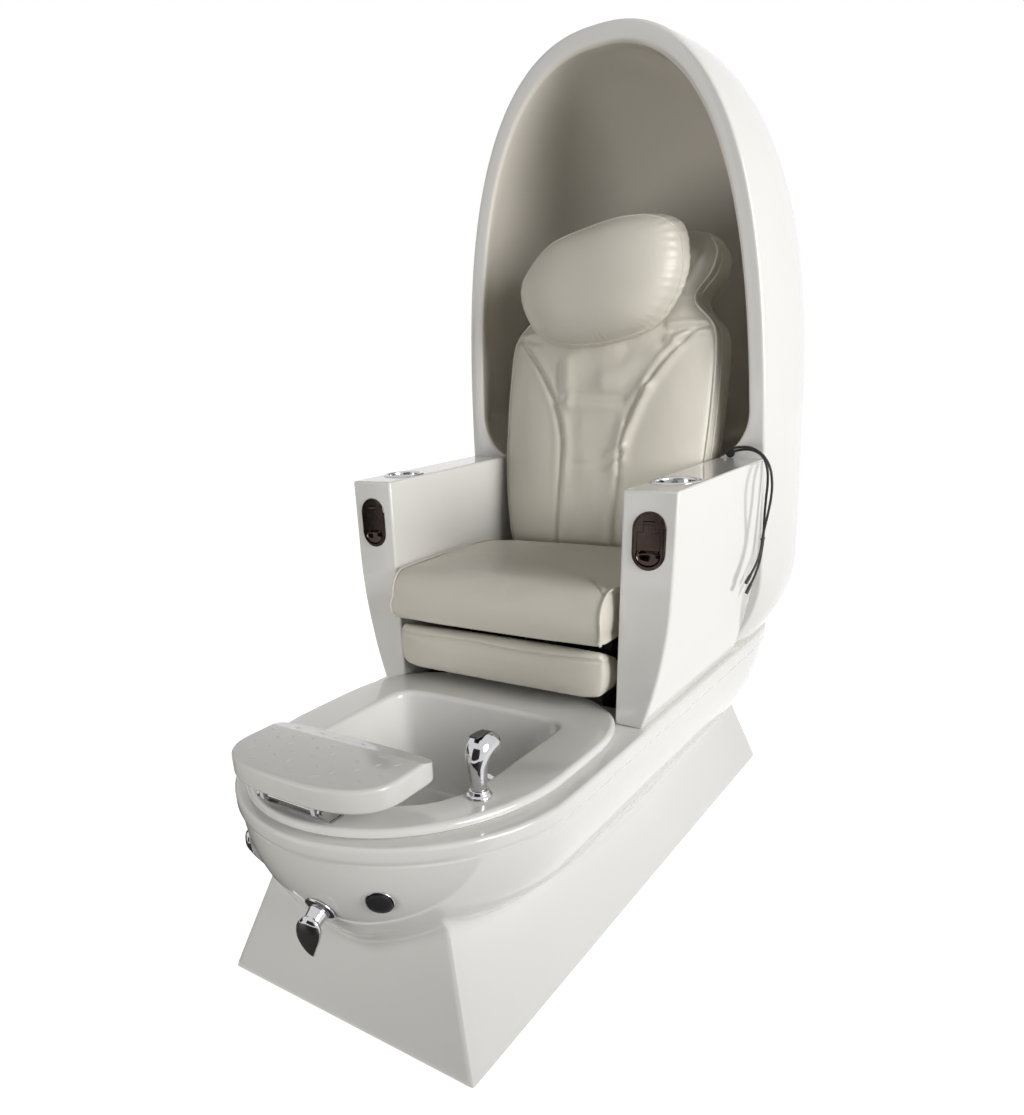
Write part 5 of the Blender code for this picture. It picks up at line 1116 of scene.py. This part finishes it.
def back_shape(u, v, t):
    x, y = squared(u, v, 0.08)
    height = (BACK_LOW + BACK_HIGH) / 2 + (BACK_HIGH - BACK_LOW) / 2 * y
    crown = BACK_CROWN * (1 - abs(u) ** 2.5) * (1 - v ** 6)
    roll = 0.026 * abs(u) ** 7 + 0.020 * max(abs(v) - 0.82, 0.0) / 0.18
    front = BACK_REAR + BACK_DEPTH + crown - roll
    swell = 0.006 * math.sin(math.pi * t) if max(abs(u), abs(v)) > 0.999 else 0.0
    across = back_half_width(height) * x
    across += math.copysign(swell if abs(u) > 0.999 else 0.0, u)
    return BACK_PLACE @ Vector((across, height, front + (BACK_REAR - front) * t))


# Folds of the cover: start, end (across, up), width and height
FOLDS = (
    (-0.096, 0.430, -0.090, 0.350, 0.007, -0.006), (-0.070, 0.440, -0.066, 0.350, 0.016, 0.006),
    (0.168, 0.452, 0.118, 0.378, 0.013, 0.007), (0.118, 0.378, 0.074, 0.262, 0.012, 0.009),
    (0.076, 0.300, 0.070, 0.200, 0.010, 0.006), (0.150, 0.494, 0.228, 0.500, 0.007, 0.006),
    (0.150, 0.466, 0.226, 0.482, 0.008, 0.006), (0.160, 0.480, 0.222, 0.490, 0.005, -0.004),
    (-0.072, 0.364, 0.066, 0.356, 0.010, -0.005), (-0.060, 0.346, 0.060, 0.340, 0.014, 0.004),
    (0.040, 0.240, 0.080, 0.260, 0.006, 0.005), (0.050, 0.212, 0.080, 0.232, 0.006, 0.005),
    (-0.050, 0.222, 0.046, 0.216, 0.010, -0.003), (0.020, 0.392, 0.132, 0.440, 0.020, 0.006),
    (-0.228, 0.500, -0.150, 0.492, 0.007, 0.006), (-0.224, 0.478, -0.150, 0.468, 0.008, 0.005),
    (0.172, 0.560, 0.205, 0.620, 0.012, 0.006), (-0.172, 0.560, -0.205, 0.620, 0.012, 0.006),
)


def back_settle(point):
    """Presses in the two curved seams and lays the cover's folds."""
    x, v, w = BACK_INVERSE @ point
    front = clamp((w - BACK_REAR - BACK_DEPTH + 0.045) / 0.03)
    if front <= 0.0:
        return point
    inner = seam_x(v) - abs(x)
    fade = clamp((0.50 - v) / 0.03)
    rise = -0.009 * groove(inner, 0.0050) * fade + 0.004 * groove(inner - 0.014, 0.010) * fade
    rise += 0.002 * groove(inner + 0.014, 0.010) * fade
    for x0, v0, x1, v1, width, height in FOLDS:
        way_x, way_v = x1 - x0, v1 - v0
        share = ((x - x0) * way_x + (v - v0) * way_v) / (way_x ** 2 + way_v ** 2)
        over = max(-share, share - 1, 0.0)
        share = clamp(share)
        off = math.hypot(x - x0 - way_x * share, v - v0 - way_v * share)
        rise += height * groove(off, width) * groove(over, 0.35)
    loose = clamp(inner / 0.03)
    ripple = noise.noise(Vector((x * 16.0, v * 9.0, 4.0)))
    ripple += 0.4 * noise.noise(Vector((x * 38.0, v * 22.0, 9.0)))
    rise += ripple * (0.0010 + 0.0028 * loose)
    return point + BACK_FORWARD * rise * front


def make_back_cushion():
    back = block("back_padding", 52, 76, 10, back_shape)

    def sewn(point):
        x, v, w = BACK_INVERSE @ point
        edge = groove(back_half_width(v) - abs(x), 0.010)
        seam = groove(seam_x(v) - abs(x), 0.008) if w > BACK_REAR + BACK_DEPTH - 0.03 else 0.0
        return max(edge, seam, 1.0 if w < BACK_REAR + 0.012 else 0.0)

    fill(back, 0.008, 0.008, sewn, back_settle)
    dress(back, "cream_leather", "backrest", "back_cushion")
    shares = [i / SEAM_STEPS for i in range(SEAM_STEPS + 1)]
    for name, side in SIDES:
        for kind, depth in (("front", 0.0), ("rear", 0.22)):
            points = [back_shape(side, -0.97 + 1.94 * share, depth) for share in shares]
            sew(name + "_" + kind + "_back_piping", points, PIPING, "backrest")
        heights = [BACK_SEAM_LOW + BACK_SEAM_LENGTH * share for share in shares]
        starts = [BACK_PLACE @ Vector((side * seam_x(v), v, 0.30)) for v in heights]
        sew(name + "_back_seam", laid(back, starts, -BACK_FORWARD), SEAM, "backrest")


PILLOW_SEAM_STEPS = 150
PILLOW_EDGE = 0.016         # thickness of the pillow at its outline

# Pillow's outline across and up from its middle, at even turns
PILLOW_OUTLINE = (
    (0.182, 0.014), (0.168, 0.078), (0.128, 0.106), (0.060, 0.115), (-0.030, 0.104), (-0.112, 0.084),
    (-0.163, 0.042), (-0.184, 0.000), (-0.168, -0.052), (-0.128, -0.096), (-0.058, -0.115), (0.034, -0.113),
    (0.120, -0.090), (0.166, -0.042),
)


def pillow_edge(turn):
    """A point on the pillow's outline, by share of a turn."""
    count = len(PILLOW_OUTLINE)
    at = (turn % 1.0) * count
    index = int(at)
    return spline(*(Vector(PILLOW_OUTLINE[(index + k) % count]) for k in (-1, 0, 1, 2)), at - index)


def pillow_shape(u, v, t):
    share = max(abs(u), abs(v))
    turn = math.atan2(v, u) / (2 * math.pi)
    edge = pillow_edge(turn)
    dome = PILLOW_EDGE + (PILLOW_DEPTH - PILLOW_EDGE) * math.sqrt(max(1 - share ** 3.2, 0.0))
    grow = 1.0 + (0.035 * math.sin(math.pi * t) if share > 0.999 else 0.0)
    x, y = edge * share * grow
    return BACK_PLACE @ Vector((x, PILLOW_V + y, PILLOW_REAR + dome * (1 - t)))


def pillow_settle(point):
    """Gathers round the sewn edge and a few soft dents."""
    x, v, w = BACK_INVERSE @ point
    y = v - PILLOW_V
    turn = math.atan2(y, x)
    out = math.hypot(x, y) / max(pillow_edge(turn / (2 * math.pi)).length, 0.001)
    rim = groove(1 - out, 0.11)
    gather = math.sin(turn * 62.0 + 5.0 * noise.noise(Vector((x * 20.0, y * 20.0, 1.0))))
    strength = 0.5 + 0.5 * noise.noise(Vector((math.cos(turn) * 2.0, math.sin(turn) * 2.0, 7.0)))
    rise = 0.0026 * rim * gather * strength + 0.0030 * noise.noise(Vector((x * 8.0, y * 8.0, 3.0)))
    return point + BACK_FORWARD * rise


def make_pillow():
    pillow = block("pillow_padding", 44, 44, 4, pillow_shape)

    def sewn(point):
        return 1.0 if (BACK_INVERSE @ point).z < PILLOW_REAR + 0.020 else 0.0

    fill(pillow, 0.006, 0.008, sewn, pillow_settle)
    dress(pillow, "cream_leather", "backrest", "head_pillow")
    starts = []
    for i in range(PILLOW_SEAM_STEPS + 1):
        x, y = pillow_edge(i / PILLOW_SEAM_STEPS) * 0.955 + Vector((0.006, -0.004))
        starts.append(BACK_PLACE @ Vector((x, PILLOW_V + y, 0.40)))
    sew("pillow_seam", laid(pillow, starts, -BACK_FORWARD), SEAM, "backrest")


# Fittings

def prism(name, outline, place, low, high, bevel=0.0, segments=3):
    """A flat outline drawn up between two heights of its own frame, with its edges eased."""
    piece = skin(name, [[place @ Vector((x, y, z)) for x, y in outline] for z in (low, high)])
    if bevel:
        ease_edges(piece, bevel, segments, 0.6)
        smooth(piece, 40.0)
    return piece


def merge(piece, *others):
    """Makes several bodies one piece."""
    clear_selection()
    for other in others:
        other.select_set(True)
    piece.select_set(True)
    bpy.context.view_layer.objects.active = piece
    bpy.ops.object.join()
    return piece


def ball(name, place, sizes, taper=0.0):
    """A stretched ball in its own frame, narrowed towards its X end."""
    clear_selection()
    bpy.ops.mesh.primitive_uv_sphere_add(segments=48, ring_count=24, radius=1.0)
    piece = bpy.context.object
    piece.name = name
    for vert in piece.data.vertices:
        x, y, z = vert.co
        narrow = 1 - taper * (x + 1) / 2
        vert.co = place @ Vector((sizes[0] * x, sizes[1] * y * narrow, sizes[2] * z * narrow))
    piece.data.shade_smooth()
    return piece


FOOT_AXIS_Y = -0.782
FOOT_AXIS_Z = 0.481
PAD_EASE = 0.0077           # rounding of the pad's upper edge
PAD_HEEL = 0.010            # and of its lower edge
PAD_NOSE_POWER = 2.7
PAD_REAR_POWER = 4.6
DROP = (0.0085, 0.0040, 0.0015)
DROP_ROWS = 6
DROP_SINK = 0.0003
PAD_KNUCKLE = 0.009
LUG_X = 0.056
LUG_HALF = 0.004


def pad_ring(inset, z):
    return oval(PAD_HALF_WIDTH - inset, PAD_FRONT + inset, PAD_NOSE_CENTRE, PAD_REAR_CENTRE,
                PAD_REAR - inset, PAD_NOSE_POWER, PAD_REAR_POWER, z)


def make_footrest_pad():
    """Moulded pad with a sloping rear strip, small raised drops on top and two lugs below."""
    rings = []
    for run, rise in quarter(6):
        rings.append(pad_ring(PAD_HEEL * (1 - rise), PAD_BOTTOM + 0.8 * PAD_HEEL * (1 - run)))
    for run, rise in quarter(8):
        rings.append(pad_ring(PAD_EASE * (1 - run), PAD_TOP - PAD_EASE * (1 - rise)))
    pad = skin("footrest_moulding", rings)
    slope = math.atan2(PAD_CHAMFER_DROP, PAD_CHAMFER_WIDTH)
    strip_y = PAD_REAR - PAD_CHAMFER_WIDTH
    strip = Matrix.Translation((0.0, strip_y, PAD_TOP)) @ Matrix.Rotation(-slope, 4, "X")
    cut(pad, prism("strip", ((-0.3, 0.0), (0.3, 0.0), (0.3, 0.2), (-0.3, 0.2)), strip, 0.0, 0.1))
    smooth(pad, 24.0)
    drops = []
    for row in range(DROP_ROWS):
        for col in range(-3, 4):
            x = 0.046 * (col + 0.5 * (row % 2)) + 0.007 * math.sin(3.1 * col + 1.7 * row)
            y = PAD_FRONT + 0.030 + 0.0255 * row + 0.005 * math.sin(2.3 * col + row)
            nose = max(PAD_NOSE_CENTRE - y, 0.0) / (PAD_NOSE_CENTRE - PAD_FRONT)
            if abs(x) > PAD_HALF_WIDTH * (1 - nose ** PAD_NOSE_POWER) ** (1 / PAD_NOSE_POWER) - 0.026:
                continue
            turn = Matrix.Rotation(0.9 * math.sin(4.7 * row + 2.9 * col) + 0.5, 4, "Z")
            if row == DROP_ROWS - 1:
                place = strip @ Matrix.Translation((x, 0.024, -DROP_SINK))
            else:
                place = Matrix.Translation((x, min(y, strip_y - 0.008), PAD_TOP - DROP_SINK))
            drops.append(ball("drop", place @ turn, DROP, 0.6))
    turns = [math.pi + math.pi * i / 16 for i in range(17)]
    outline = [(PAD_KNUCKLE * math.cos(turn), PAD_KNUCKLE * math.sin(turn)) for turn in turns]
    outline += [(PAD_KNUCKLE, 0.013), (-PAD_KNUCKLE, 0.013)]
    for side in (-1, 1):
        place = frame_at((side * LUG_X, FOOT_AXIS_Y, FOOT_AXIS_Z), (1.0, 0.0, 0.0), (0.0, 1.0, 0.0))
        drops.append(prism("lug", outline, place, -LUG_HALF, LUG_HALF, 0.0008))
    merge(pad, *drops)
    return dress(pad, "white_plastic", "footrest", "footrest_pad")


# Lever blade, from the hub to the tip: share of the length, height, half-width, half-thickness, shift
BLADE = (
    (-0.20, 0.029, 0.006, 0.004, 0.000), (-0.13, 0.031, 0.015, 0.008, 0.000),
    (0.02, 0.036, 0.0225, 0.011, -0.001), (0.20, 0.040, 0.0240, 0.010, -0.003),
    (0.42, 0.045, 0.0220, 0.0085, -0.005), (0.62, 0.049, 0.0170, 0.0065, -0.005),
    (0.80, 0.052, 0.0105, 0.0048, -0.003), (0.93, 0.053, 0.0048, 0.0032, 0.000),
    (1.00, 0.053, 0.0008, 0.0008, 0.002),
)
LEVER_LENGTH = 0.084
LEVER_TURN = math.radians(-14.0)
SIDE_STAND = 0.010          # how much further out the side lever stands

# Turned fittings: radius and height down the outer side
ROSE = (
    (0.0084, 0.0060), (0.0200, 0.0062), (0.0245, 0.0056), (0.0275, 0.0045), (0.0293, 0.0030),
    (0.0300, 0.0014), (0.0300, 0.0003), (0.0084, 0.0003),
)
HUB_DOME = ((0.0, 0.0400), (0.0070, 0.0396), (0.0120, 0.0380), (0.0150, 0.0350), (0.0160, 0.0310))
HUB_STEM = (
    (0.0165, 0.0200), (0.0178, 0.0120), (0.0190, 0.0080), (0.0183, 0.0063), (0.0080, 0.0063),
    (0.0080, -0.0240), (0.0, -0.0240),
)
SWITCH_RING = (
    (0.0189, 0.0010), (0.0219, 0.0010), (0.0224, 0.0018), (0.0231, 0.0020), (0.0237, 0.0016),
    (0.0240, 0.0008), (0.0240, 0.0004), (0.0189, 0.0004),
)
SWITCH_DOME = (
    (0.0, 0.0096), (0.0055, 0.0095), (0.0110, 0.0090), (0.0158, 0.0081), (0.0192, 0.0070),
    (0.0211, 0.0060), (0.0217, 0.0054), (0.0213, 0.0052), (0.0185, 0.0052), (0.0185, -0.0030),
    (0.0050, -0.0030), (0.0050, -0.0153), (0.0, -0.0153),
)
COLLAR = (
    (0.0129, 0.0118), (0.0145, 0.0122), (0.0158, 0.0116), (0.0165, 0.0095), (0.0168, 0.0070),
    (0.0178, 0.0050), (0.0196, 0.0042), (0.0207, 0.0030), (0.0210, 0.0012), (0.0210, 0.0), (0.0129, 0.0),
)
SPRAY_FACE = (
    (0.0, 0.0040), (0.0100, 0.0038), (0.0128, 0.0028), (0.0138, 0.0010), (0.0138, -0.004), (0.0, -0.004),
)
CUP = (
    (0.0, -0.0580), (0.0300, -0.0580), (0.0345, -0.0568), (0.0360, -0.0540), (0.0360, -0.0010),
    (0.0364, 0.0012), (0.0376, 0.0026), (0.0400, 0.0031), (0.0428, 0.0029), (0.0445, 0.0018),
    (0.0450, 0.0003), (0.0375, 0.0003), (0.0375, -0.0595), (0.0, -0.0595),
)


def make_valve(name, body, place, stand):
    """Round flange and swan-necked lever."""
    dress(turned(name + "_rose", ROSE, place, 72, 50.0), "chrome", "base", name + "_flange")
    profile = [(radius, z + stand) for radius, z in HUB_DOME] + list(HUB_STEM)
    hub = turned(name + "_handle", profile, place, 56, 50.0)
    turn = lifted(place, stand) @ Matrix.Rotation(LEVER_TURN, 4, "Z")
    rings = []
    for share, out, wide, thick, shift in bend(BLADE, 5):
        ring = []
        for i in range(36):
            angle = -2 * math.pi * i / 36
            across = wide * power(math.cos(angle), 0.85) + shift
            ring.append(turn @ Vector((across, -share * LEVER_LENGTH, out + thick * math.sin(angle))))
        rings.append(ring)
    blade = skin(name + "_blade", rings, (True, True), 50.0)
    dress(merge(hub, blade), "chrome", body, name + "_lever")


def make_switch():
    """Domed air button in its ring."""
    place = nose_frame(*JET_SWITCH)
    dress(turned("button_ring", SWITCH_RING, place, 72, 40.0), "chrome", "base", "jet_button_bezel")
    dress(turned("button_dome", SWITCH_DOME, place, 64, 40.0), "black_plastic", "air_button", "jet_button")


SPRAYER_X = 0.217
SPRAYER_Y = -0.575
SPRAYER_FOOT = LIP_TOP + GAP
SPRAYER_STEM = 0.0125
SPRAYER_HEAD = SPRAYER_FOOT + 0.080

# Middle of the sprayer's body and its girth: run back, rise over the head, share of the stem's radius
SPRAYER_PATH = (
    (0.000, -0.0795, 1.00), (0.000, -0.0675, 1.00), (-0.001, -0.0540, 1.13), (-0.003, -0.0320, 1.30),
    (-0.002, -0.0140, 1.55), (0.006, 0.0000, 1.75), (0.020, 0.0040, 1.75), (0.031, 0.0000, 1.65),
    (0.0385, -0.0058, 1.50), (0.042, -0.0090, 1.30),
)
THUMB_LEVER = (             # the thumb lever's side: run back from the stem, and height over its seat
    (0.026, 0.0003), (0.029, 0.002), (0.026, 0.0055), (0.010, 0.0078), (-0.004, 0.0090),
    (-0.012, 0.0086), (-0.0125, 0.0068), (-0.012, 0.0055),
)
THUMB_HALF = 0.007
THUMB_SEAT = ((-0.0085, -0.014), (0.0085, -0.014), (0.0085, 0.036), (-0.0085, 0.036))


def make_sprayer():
    """Pull-out sprayer in its collar, with a thumb lever on its head."""
    foot = Matrix.Translation((SPRAYER_X, SPRAYER_Y, SPRAYER_FOOT))
    dress(turned("sprayer_collar", COLLAR, foot, 64, 50.0), "chrome", "base", "sprayer_holder")
    path = bend(SPRAYER_PATH, 6)
    rings = []
    for i, (run, rise, girth) in enumerate(path):
        before = path[max(i - 1, 0)]
        after = path[min(i + 1, len(path) - 1)]
        heading = Vector((0.0, after.x - before.x, after.y - before.y))
        middle = (SPRAYER_X, SPRAYER_Y + run, SPRAYER_HEAD + rise)
        rings.append(round_ring(SPRAYER_STEM * girth, frame_at(middle, heading, (1.0, 0.0, 0.0)), 56))
    body = skin("sprayer_body", rings, (True, True), 50.0)
    top = SPRAYER_HEAD + 0.004 + 1.75 * SPRAYER_STEM
    seat = top - 0.006
    over = Matrix.Translation((SPRAYER_X, SPRAYER_Y, 0.0))
    cut(body, prism("lever_seat", THUMB_SEAT, over, seat, top + 0.02))
    smooth(body, 40.0)
    dress(body, "chrome", "hand_sprayer", "sprayer")
    face = frame_at((SPRAYER_X, SPRAYER_Y + 0.042, SPRAYER_HEAD - 0.009), (0.0, 0.80, -0.60), (1.0, 0.0, 0.0))
    dress(turned("spray_face", SPRAY_FACE, face, 48), "black_plastic", "hand_sprayer")
    side = frame_at((SPRAYER_X, SPRAYER_Y, seat), (1.0, 0.0, 0.0), (0.0, 1.0, 0.0))
    lever = prism("thumb_lever", THUMB_LEVER, side, -THUMB_HALF, THUMB_HALF, 0.0012)
    dress(lever, "black_plastic", "spray_lever", "sprayer_lever")


HOOK_PROUD = 0.003          # how far the hook's face stands out of the armrest
HOOK_PIN_Y = 0.0298
HOOK_PIN_Z = -0.0012
HOOK_RIM = (                # inset of the face's bevelled rim, and height over the armrest
    (0.0, 0.0003), (0.0, 0.0012), (0.0006, 0.0024), (0.0018, 0.0031), (0.0030, 0.0031), (0.0042, 0.0025),
)
HOOK_SCOOP = (0.0236, 0.0195, 0.0110)
HOOK_STEM = 0.010
HOOK_FLAP = 0.021
FLAP_TOP = 0.015
FLAP_LOW = -0.016
FLAP_THICK = 0.0057
HOOK_KNUCKLE = 0.0042


def hook_outline(slack, top):
    """The flap's T shape, made larger all round by some slack."""
    stem = HOOK_STEM + slack
    flap = HOOK_FLAP + slack
    high = FLAP_TOP + slack
    low = FLAP_LOW - slack
    return [(-stem, top), (-stem, high), (-flap, high), (-flap, low), (flap, low), (flap, high), (stem, high),
            (stem, top)]


def make_hook(name, side):
    """Flush plate with a bevelled rim, a T-shaped flap and a scoop for the finger under it."""
    place = hook_place(side)
    rings = [stadium(*HOOK_BACK, lifted(place, z), 96) for z in (-HOOK_DEPTH, GAP)]
    for inset, z in HOOK_RIM:
        width, height = (size - 2 * inset for size in HOOK_FACE)
        rings.append(stadium(width, height, lifted(place, z), 96))
    plate = skin(name + "_hook_rose", rings, (True, True), 24.0)
    pocket = prism("pocket", hook_outline(0.0006, 0.0346), place, -0.006, 0.02)
    scoop = ball("scoop", place @ Matrix.Translation((0.0, -0.0255, 0.0030)), HOOK_SCOOP)
    cut(plate, pocket, scoop)
    smooth(plate, 24.0)
    dress(plate, "dark_nickel", "base", name + "_hook_plate")
    show = HOOK_PROUD - GAP
    flap = prism(name + "_hook_flap", hook_outline(0.0, HOOK_PIN_Y), place, show - FLAP_THICK, show, 0.0005)
    axis = frame_at(place @ Vector((0.0, HOOK_PIN_Y, HOOK_PIN_Z)), (1.0, 0.0, 0.0), (0.0, 0.0, 1.0))
    corners = ((0.0, 1), (HOOK_KNUCKLE, 1), (HOOK_KNUCKLE, -1), (0.0, -1))
    knuckle = turned("knuckle", [(radius, HOOK_STEM * end) for radius, end in corners], axis, 32)
    dress(merge(flap, knuckle), "dark_nickel", name + "_bag_hook", name + "_hook")


def make_cup_holder(name, side):
    place = Matrix.Translation((side * CUP_X, CUP_Y, ARM_TOP))
    dress(turned(name + "_cup", CUP, place, 96, 40.0), "chrome", "base", name + "_cup_holder")


# Leads

LEAD_STEP = 0.004


def smooth_route(points, step):
    """Evenly spaced points on a smooth curve through the route's own points."""
    dense = bend(points, 12)
    total = sum((q - p).length for p, q in zip(dense, dense[1:]))
    count = max(round(total / step), 2)
    even = [dense[0]]
    walked = 0.0
    for p, q in zip(dense, dense[1:]):
        span = (q - p).length
        while len(even) < count and walked + span >= len(even) * total / count:
            even.append(p.lerp(q, (len(even) * total / count - walked) / span))
        walked += span
    even.append(dense[-1])
    return even


def make_lead(name, route):
    points = smooth_route(route, LEAD_STEP)
    curve = bpy.data.curves.new(name + "_lead", "CURVE")
    curve.dimensions = "3D"
    curve.bevel_depth = CABLE_RADIUS
    curve.bevel_resolution = 4
    curve.use_fill_caps = True
    strand = curve.splines.new("POLY")
    strand.points.add(len(points) - 1)
    for target, point in zip(strand.points, points):
        target.co = (*point, 1.0)
    lead = bpy.data.objects.new(name + "_lead", curve)
    bpy.context.scene.collection.objects.link(lead)
    dress(lead, "black_rubber", "base", name + "_cable")


# Solids that stay as they are

def polish_solids():
    """Gives every solid that still shows its finish, with welded corners and smooth round faces."""
    for name, solid in nodes.items():
        if solid.hide_render:
            continue
        slot = SLOT_OF[name]
        solid.data.materials.clear()
        solid.data.materials.append(FINISHES[slot])
        custom = solid.data.attributes.get("custom_normal")
        if custom is not None:
            solid.data.attributes.remove(custom)
        solid.data.shade_smooth()
        weld = solid.modifiers.new("weld", "WELD")
        weld.merge_threshold = 0.00002
        split = solid.modifiers.new("crisp_edges", "EDGE_SPLIT")
        split.split_angle = math.radians(32.0)


# Studio

AMBIENT = (0.97, 0.98, 1.0, 1.0)
AMBIENT_STRENGTH = 0.18
FLOOR_GLOW = 0.92


def seen_as_white(tree, plain, white, output):
    """Shows one shader to light and another to the camera, mirrors and glass."""
    path = tree.nodes.new("ShaderNodeLightPath")
    share = path.outputs["Is Camera Ray"]
    for ray in ("Is Glossy Ray", "Is Transmission Ray"):
        add = tree.nodes.new("ShaderNodeMath")
        add.operation = "MAXIMUM"
        tree.links.new(share, add.inputs[0])
        tree.links.new(path.outputs[ray], add.inputs[1])
        share = add.outputs[0]
    mix = tree.nodes.new("ShaderNodeMixShader")
    tree.links.new(share, mix.inputs["Fac"])
    tree.links.new(plain.outputs[0], mix.inputs[1])
    tree.links.new(white.outputs[0], mix.inputs[2])
    tree.links.new(mix.outputs[0], output.inputs["Surface"])


def make_studio():
    scene = bpy.context.scene
    scene.view_settings.view_transform = "Standard"
    world = bpy.data.worlds.new("studio")
    scene.world = world
    world.use_nodes = True
    tree = world.node_tree
    ambient = tree.nodes["Background"]
    ambient.inputs["Color"].default_value = AMBIENT
    ambient.inputs["Strength"].default_value = AMBIENT_STRENGTH
    backdrop = tree.nodes.new("ShaderNodeBackground")
    backdrop.inputs["Color"].default_value = (1.0, 1.0, 1.0, 1.0)
    backdrop.inputs["Strength"].default_value = 1.0
    seen_as_white(tree, ambient, backdrop, tree.nodes["World Output"])

    bpy.ops.mesh.primitive_plane_add(size=60.0, location=(0.0, 0.0, -0.0005))
    floor = bpy.context.object
    floor.name = "studio_floor"
    paint = bpy.data.materials.new("studio_floor")
    paint.use_nodes = True
    tree = paint.node_tree
    plain = tree.nodes["Principled BSDF"]
    plain.inputs["Base Color"].default_value = (0.40, 0.395, 0.38, 1.0)
    plain.inputs["Roughness"].default_value = 0.9
    glow = tree.nodes.new("ShaderNodeEmission")
    glow.inputs["Strength"].default_value = FLOOR_GLOW
    lit = tree.nodes.new("ShaderNodeAddShader")
    tree.links.new(plain.outputs[0], lit.inputs[0])
    tree.links.new(glow.outputs[0], lit.inputs[1])
    seen_as_white(tree, plain, lit, tree.nodes["Material Output"])
    floor.data.materials.append(paint)

    def lamp(name, spot, target, size, watts, colour, spread, mirrored):
        light = bpy.data.lights.new(name, "AREA")
        light.shape = "DISK"
        light.size = size
        light.energy = watts
        light.color = colour
        light.spread = math.radians(spread)
        holder = bpy.data.objects.new(name, light)
        scene.collection.objects.link(holder)
        holder.visible_glossy = mirrored
        holder.location = spot
        holder.rotation_euler = (Vector(target) - Vector(spot)).to_track_quat("-Z", "Y").to_euler()

    lamp("window_right", (3.3, -0.5, 1.75), (0.0, 0.1, 1.15), 2.2, 33.0, (1.0, 0.99, 0.97), 90.0, True)
    lamp("soft_front", (-0.9, -3.0, 0.6), (0.0, 0.1, 0.95), 1.6, 12.0, (1.0, 0.975, 0.94), 100.0, False)
    lamp("fill_rear", (-2.6, 2.4, 1.7), (0.0, 0.3, 0.8), 2.2, 32.0, (1.0, 1.0, 1.0), 120.0, False)

    def card(name, size, spot, turn, colour, mirrored):
        """A dark card that the camera never sees: over the chair it takes light, elsewhere it is mirrored."""
        bpy.ops.mesh.primitive_plane_add(size=1.0, location=spot, rotation=turn)
        flag = bpy.context.object
        flag.name = name
        flag.scale = (*size, 1.0)
        flag.visible_camera = False
        flag.visible_glossy = mirrored
        flag.visible_diffuse = not mirrored
        flag.visible_shadow = not mirrored
        paint = bpy.data.materials.new(name)
        paint.use_nodes = True
        paint.node_tree.nodes["Principled BSDF"].inputs["Base Color"].default_value = colour
        flag.data.materials.append(paint)

    brown = (0.020, 0.016, 0.013, 1.0)
    upright = math.pi / 2
    card("ceiling_card", (5.0, 5.0), (0.0, -0.2, 3.0), (0.0, 0.0, 0.0), (0.10, 0.09, 0.08, 1.0), False)
    card("front_card", (3.6, 2.4), (0.9, -3.2, 1.3), (upright, 0.0, 0.0), brown, True)
    card("left_card", (2.4, 0.8), (-2.2, -1.2, 0.45), (upright, 0.0, upright), brown, True)
    card("front_floor_card", (3.6, 1.4), (-0.2, -1.45, 0.002), (0.0, 0.0, 0.0), brown, True)
    card("left_floor_card", (1.4, 1.4), (-1.02, -0.05, 0.002), (0.0, 0.0, 0.0), brown, True)


def make_camera():
    """The photograph's camera, for an image of 1024 by 1115."""
    focal, width, height = 827.1, 1024.0, 1115.0
    sensor = 36.0
    spot = (0.887, -1.546, 1.087)
    centre_x, centre_y = 432.0, 748.9
    turn, tilt, roll = (math.radians(a) for a in (38.08, 24.78, -3.84))
    right = Vector((math.cos(turn), math.sin(turn), 0.0))
    back = Vector((math.sin(turn) * math.cos(tilt), -math.cos(turn) * math.cos(tilt), math.sin(tilt)))
    up = back.cross(right)
    rolled_right = right * math.cos(roll) + up * math.sin(roll)
    rolled_up = up * math.cos(roll) - right * math.sin(roll)
    data = bpy.data.cameras.new("camera")
    data.sensor_width = sensor
    data.lens = focal / height * sensor
    data.shift_x = (width / 2 - centre_x) / height
    data.shift_y = (centre_y - height / 2) / height
    camera = bpy.data.objects.new("camera", data)
    bpy.context.scene.collection.objects.link(camera)
    matrix = Matrix((rolled_right, rolled_up, back)).transposed().to_4x4()
    matrix.translation = spot
    camera.matrix_world = matrix
    bpy.context.scene.camera = camera


make_camera()
make_studio()
make_lead("upper", UPPER_ROUTE)
make_lead("lower", LOWER_ROUTE)
make_base_shell()
make_basin()
make_pod()
for arm_name, arm_side in SIDES:
    make_armrest(arm_name, arm_side)
    make_cup_holder(arm_name, arm_side)
    make_hook(arm_name, arm_side)
make_footrest_pad()
make_valve("front_valve", "front_lever", nose_frame(*FRONT_VALVE), 0.0)
make_valve("side_valve", "side_lever", nose_frame(*SIDE_VALVE), SIDE_STAND)
make_switch()
make_sprayer()
make_seat_cushion()
make_apron()
make_back_cushion()
make_pillow()
polish_solids()
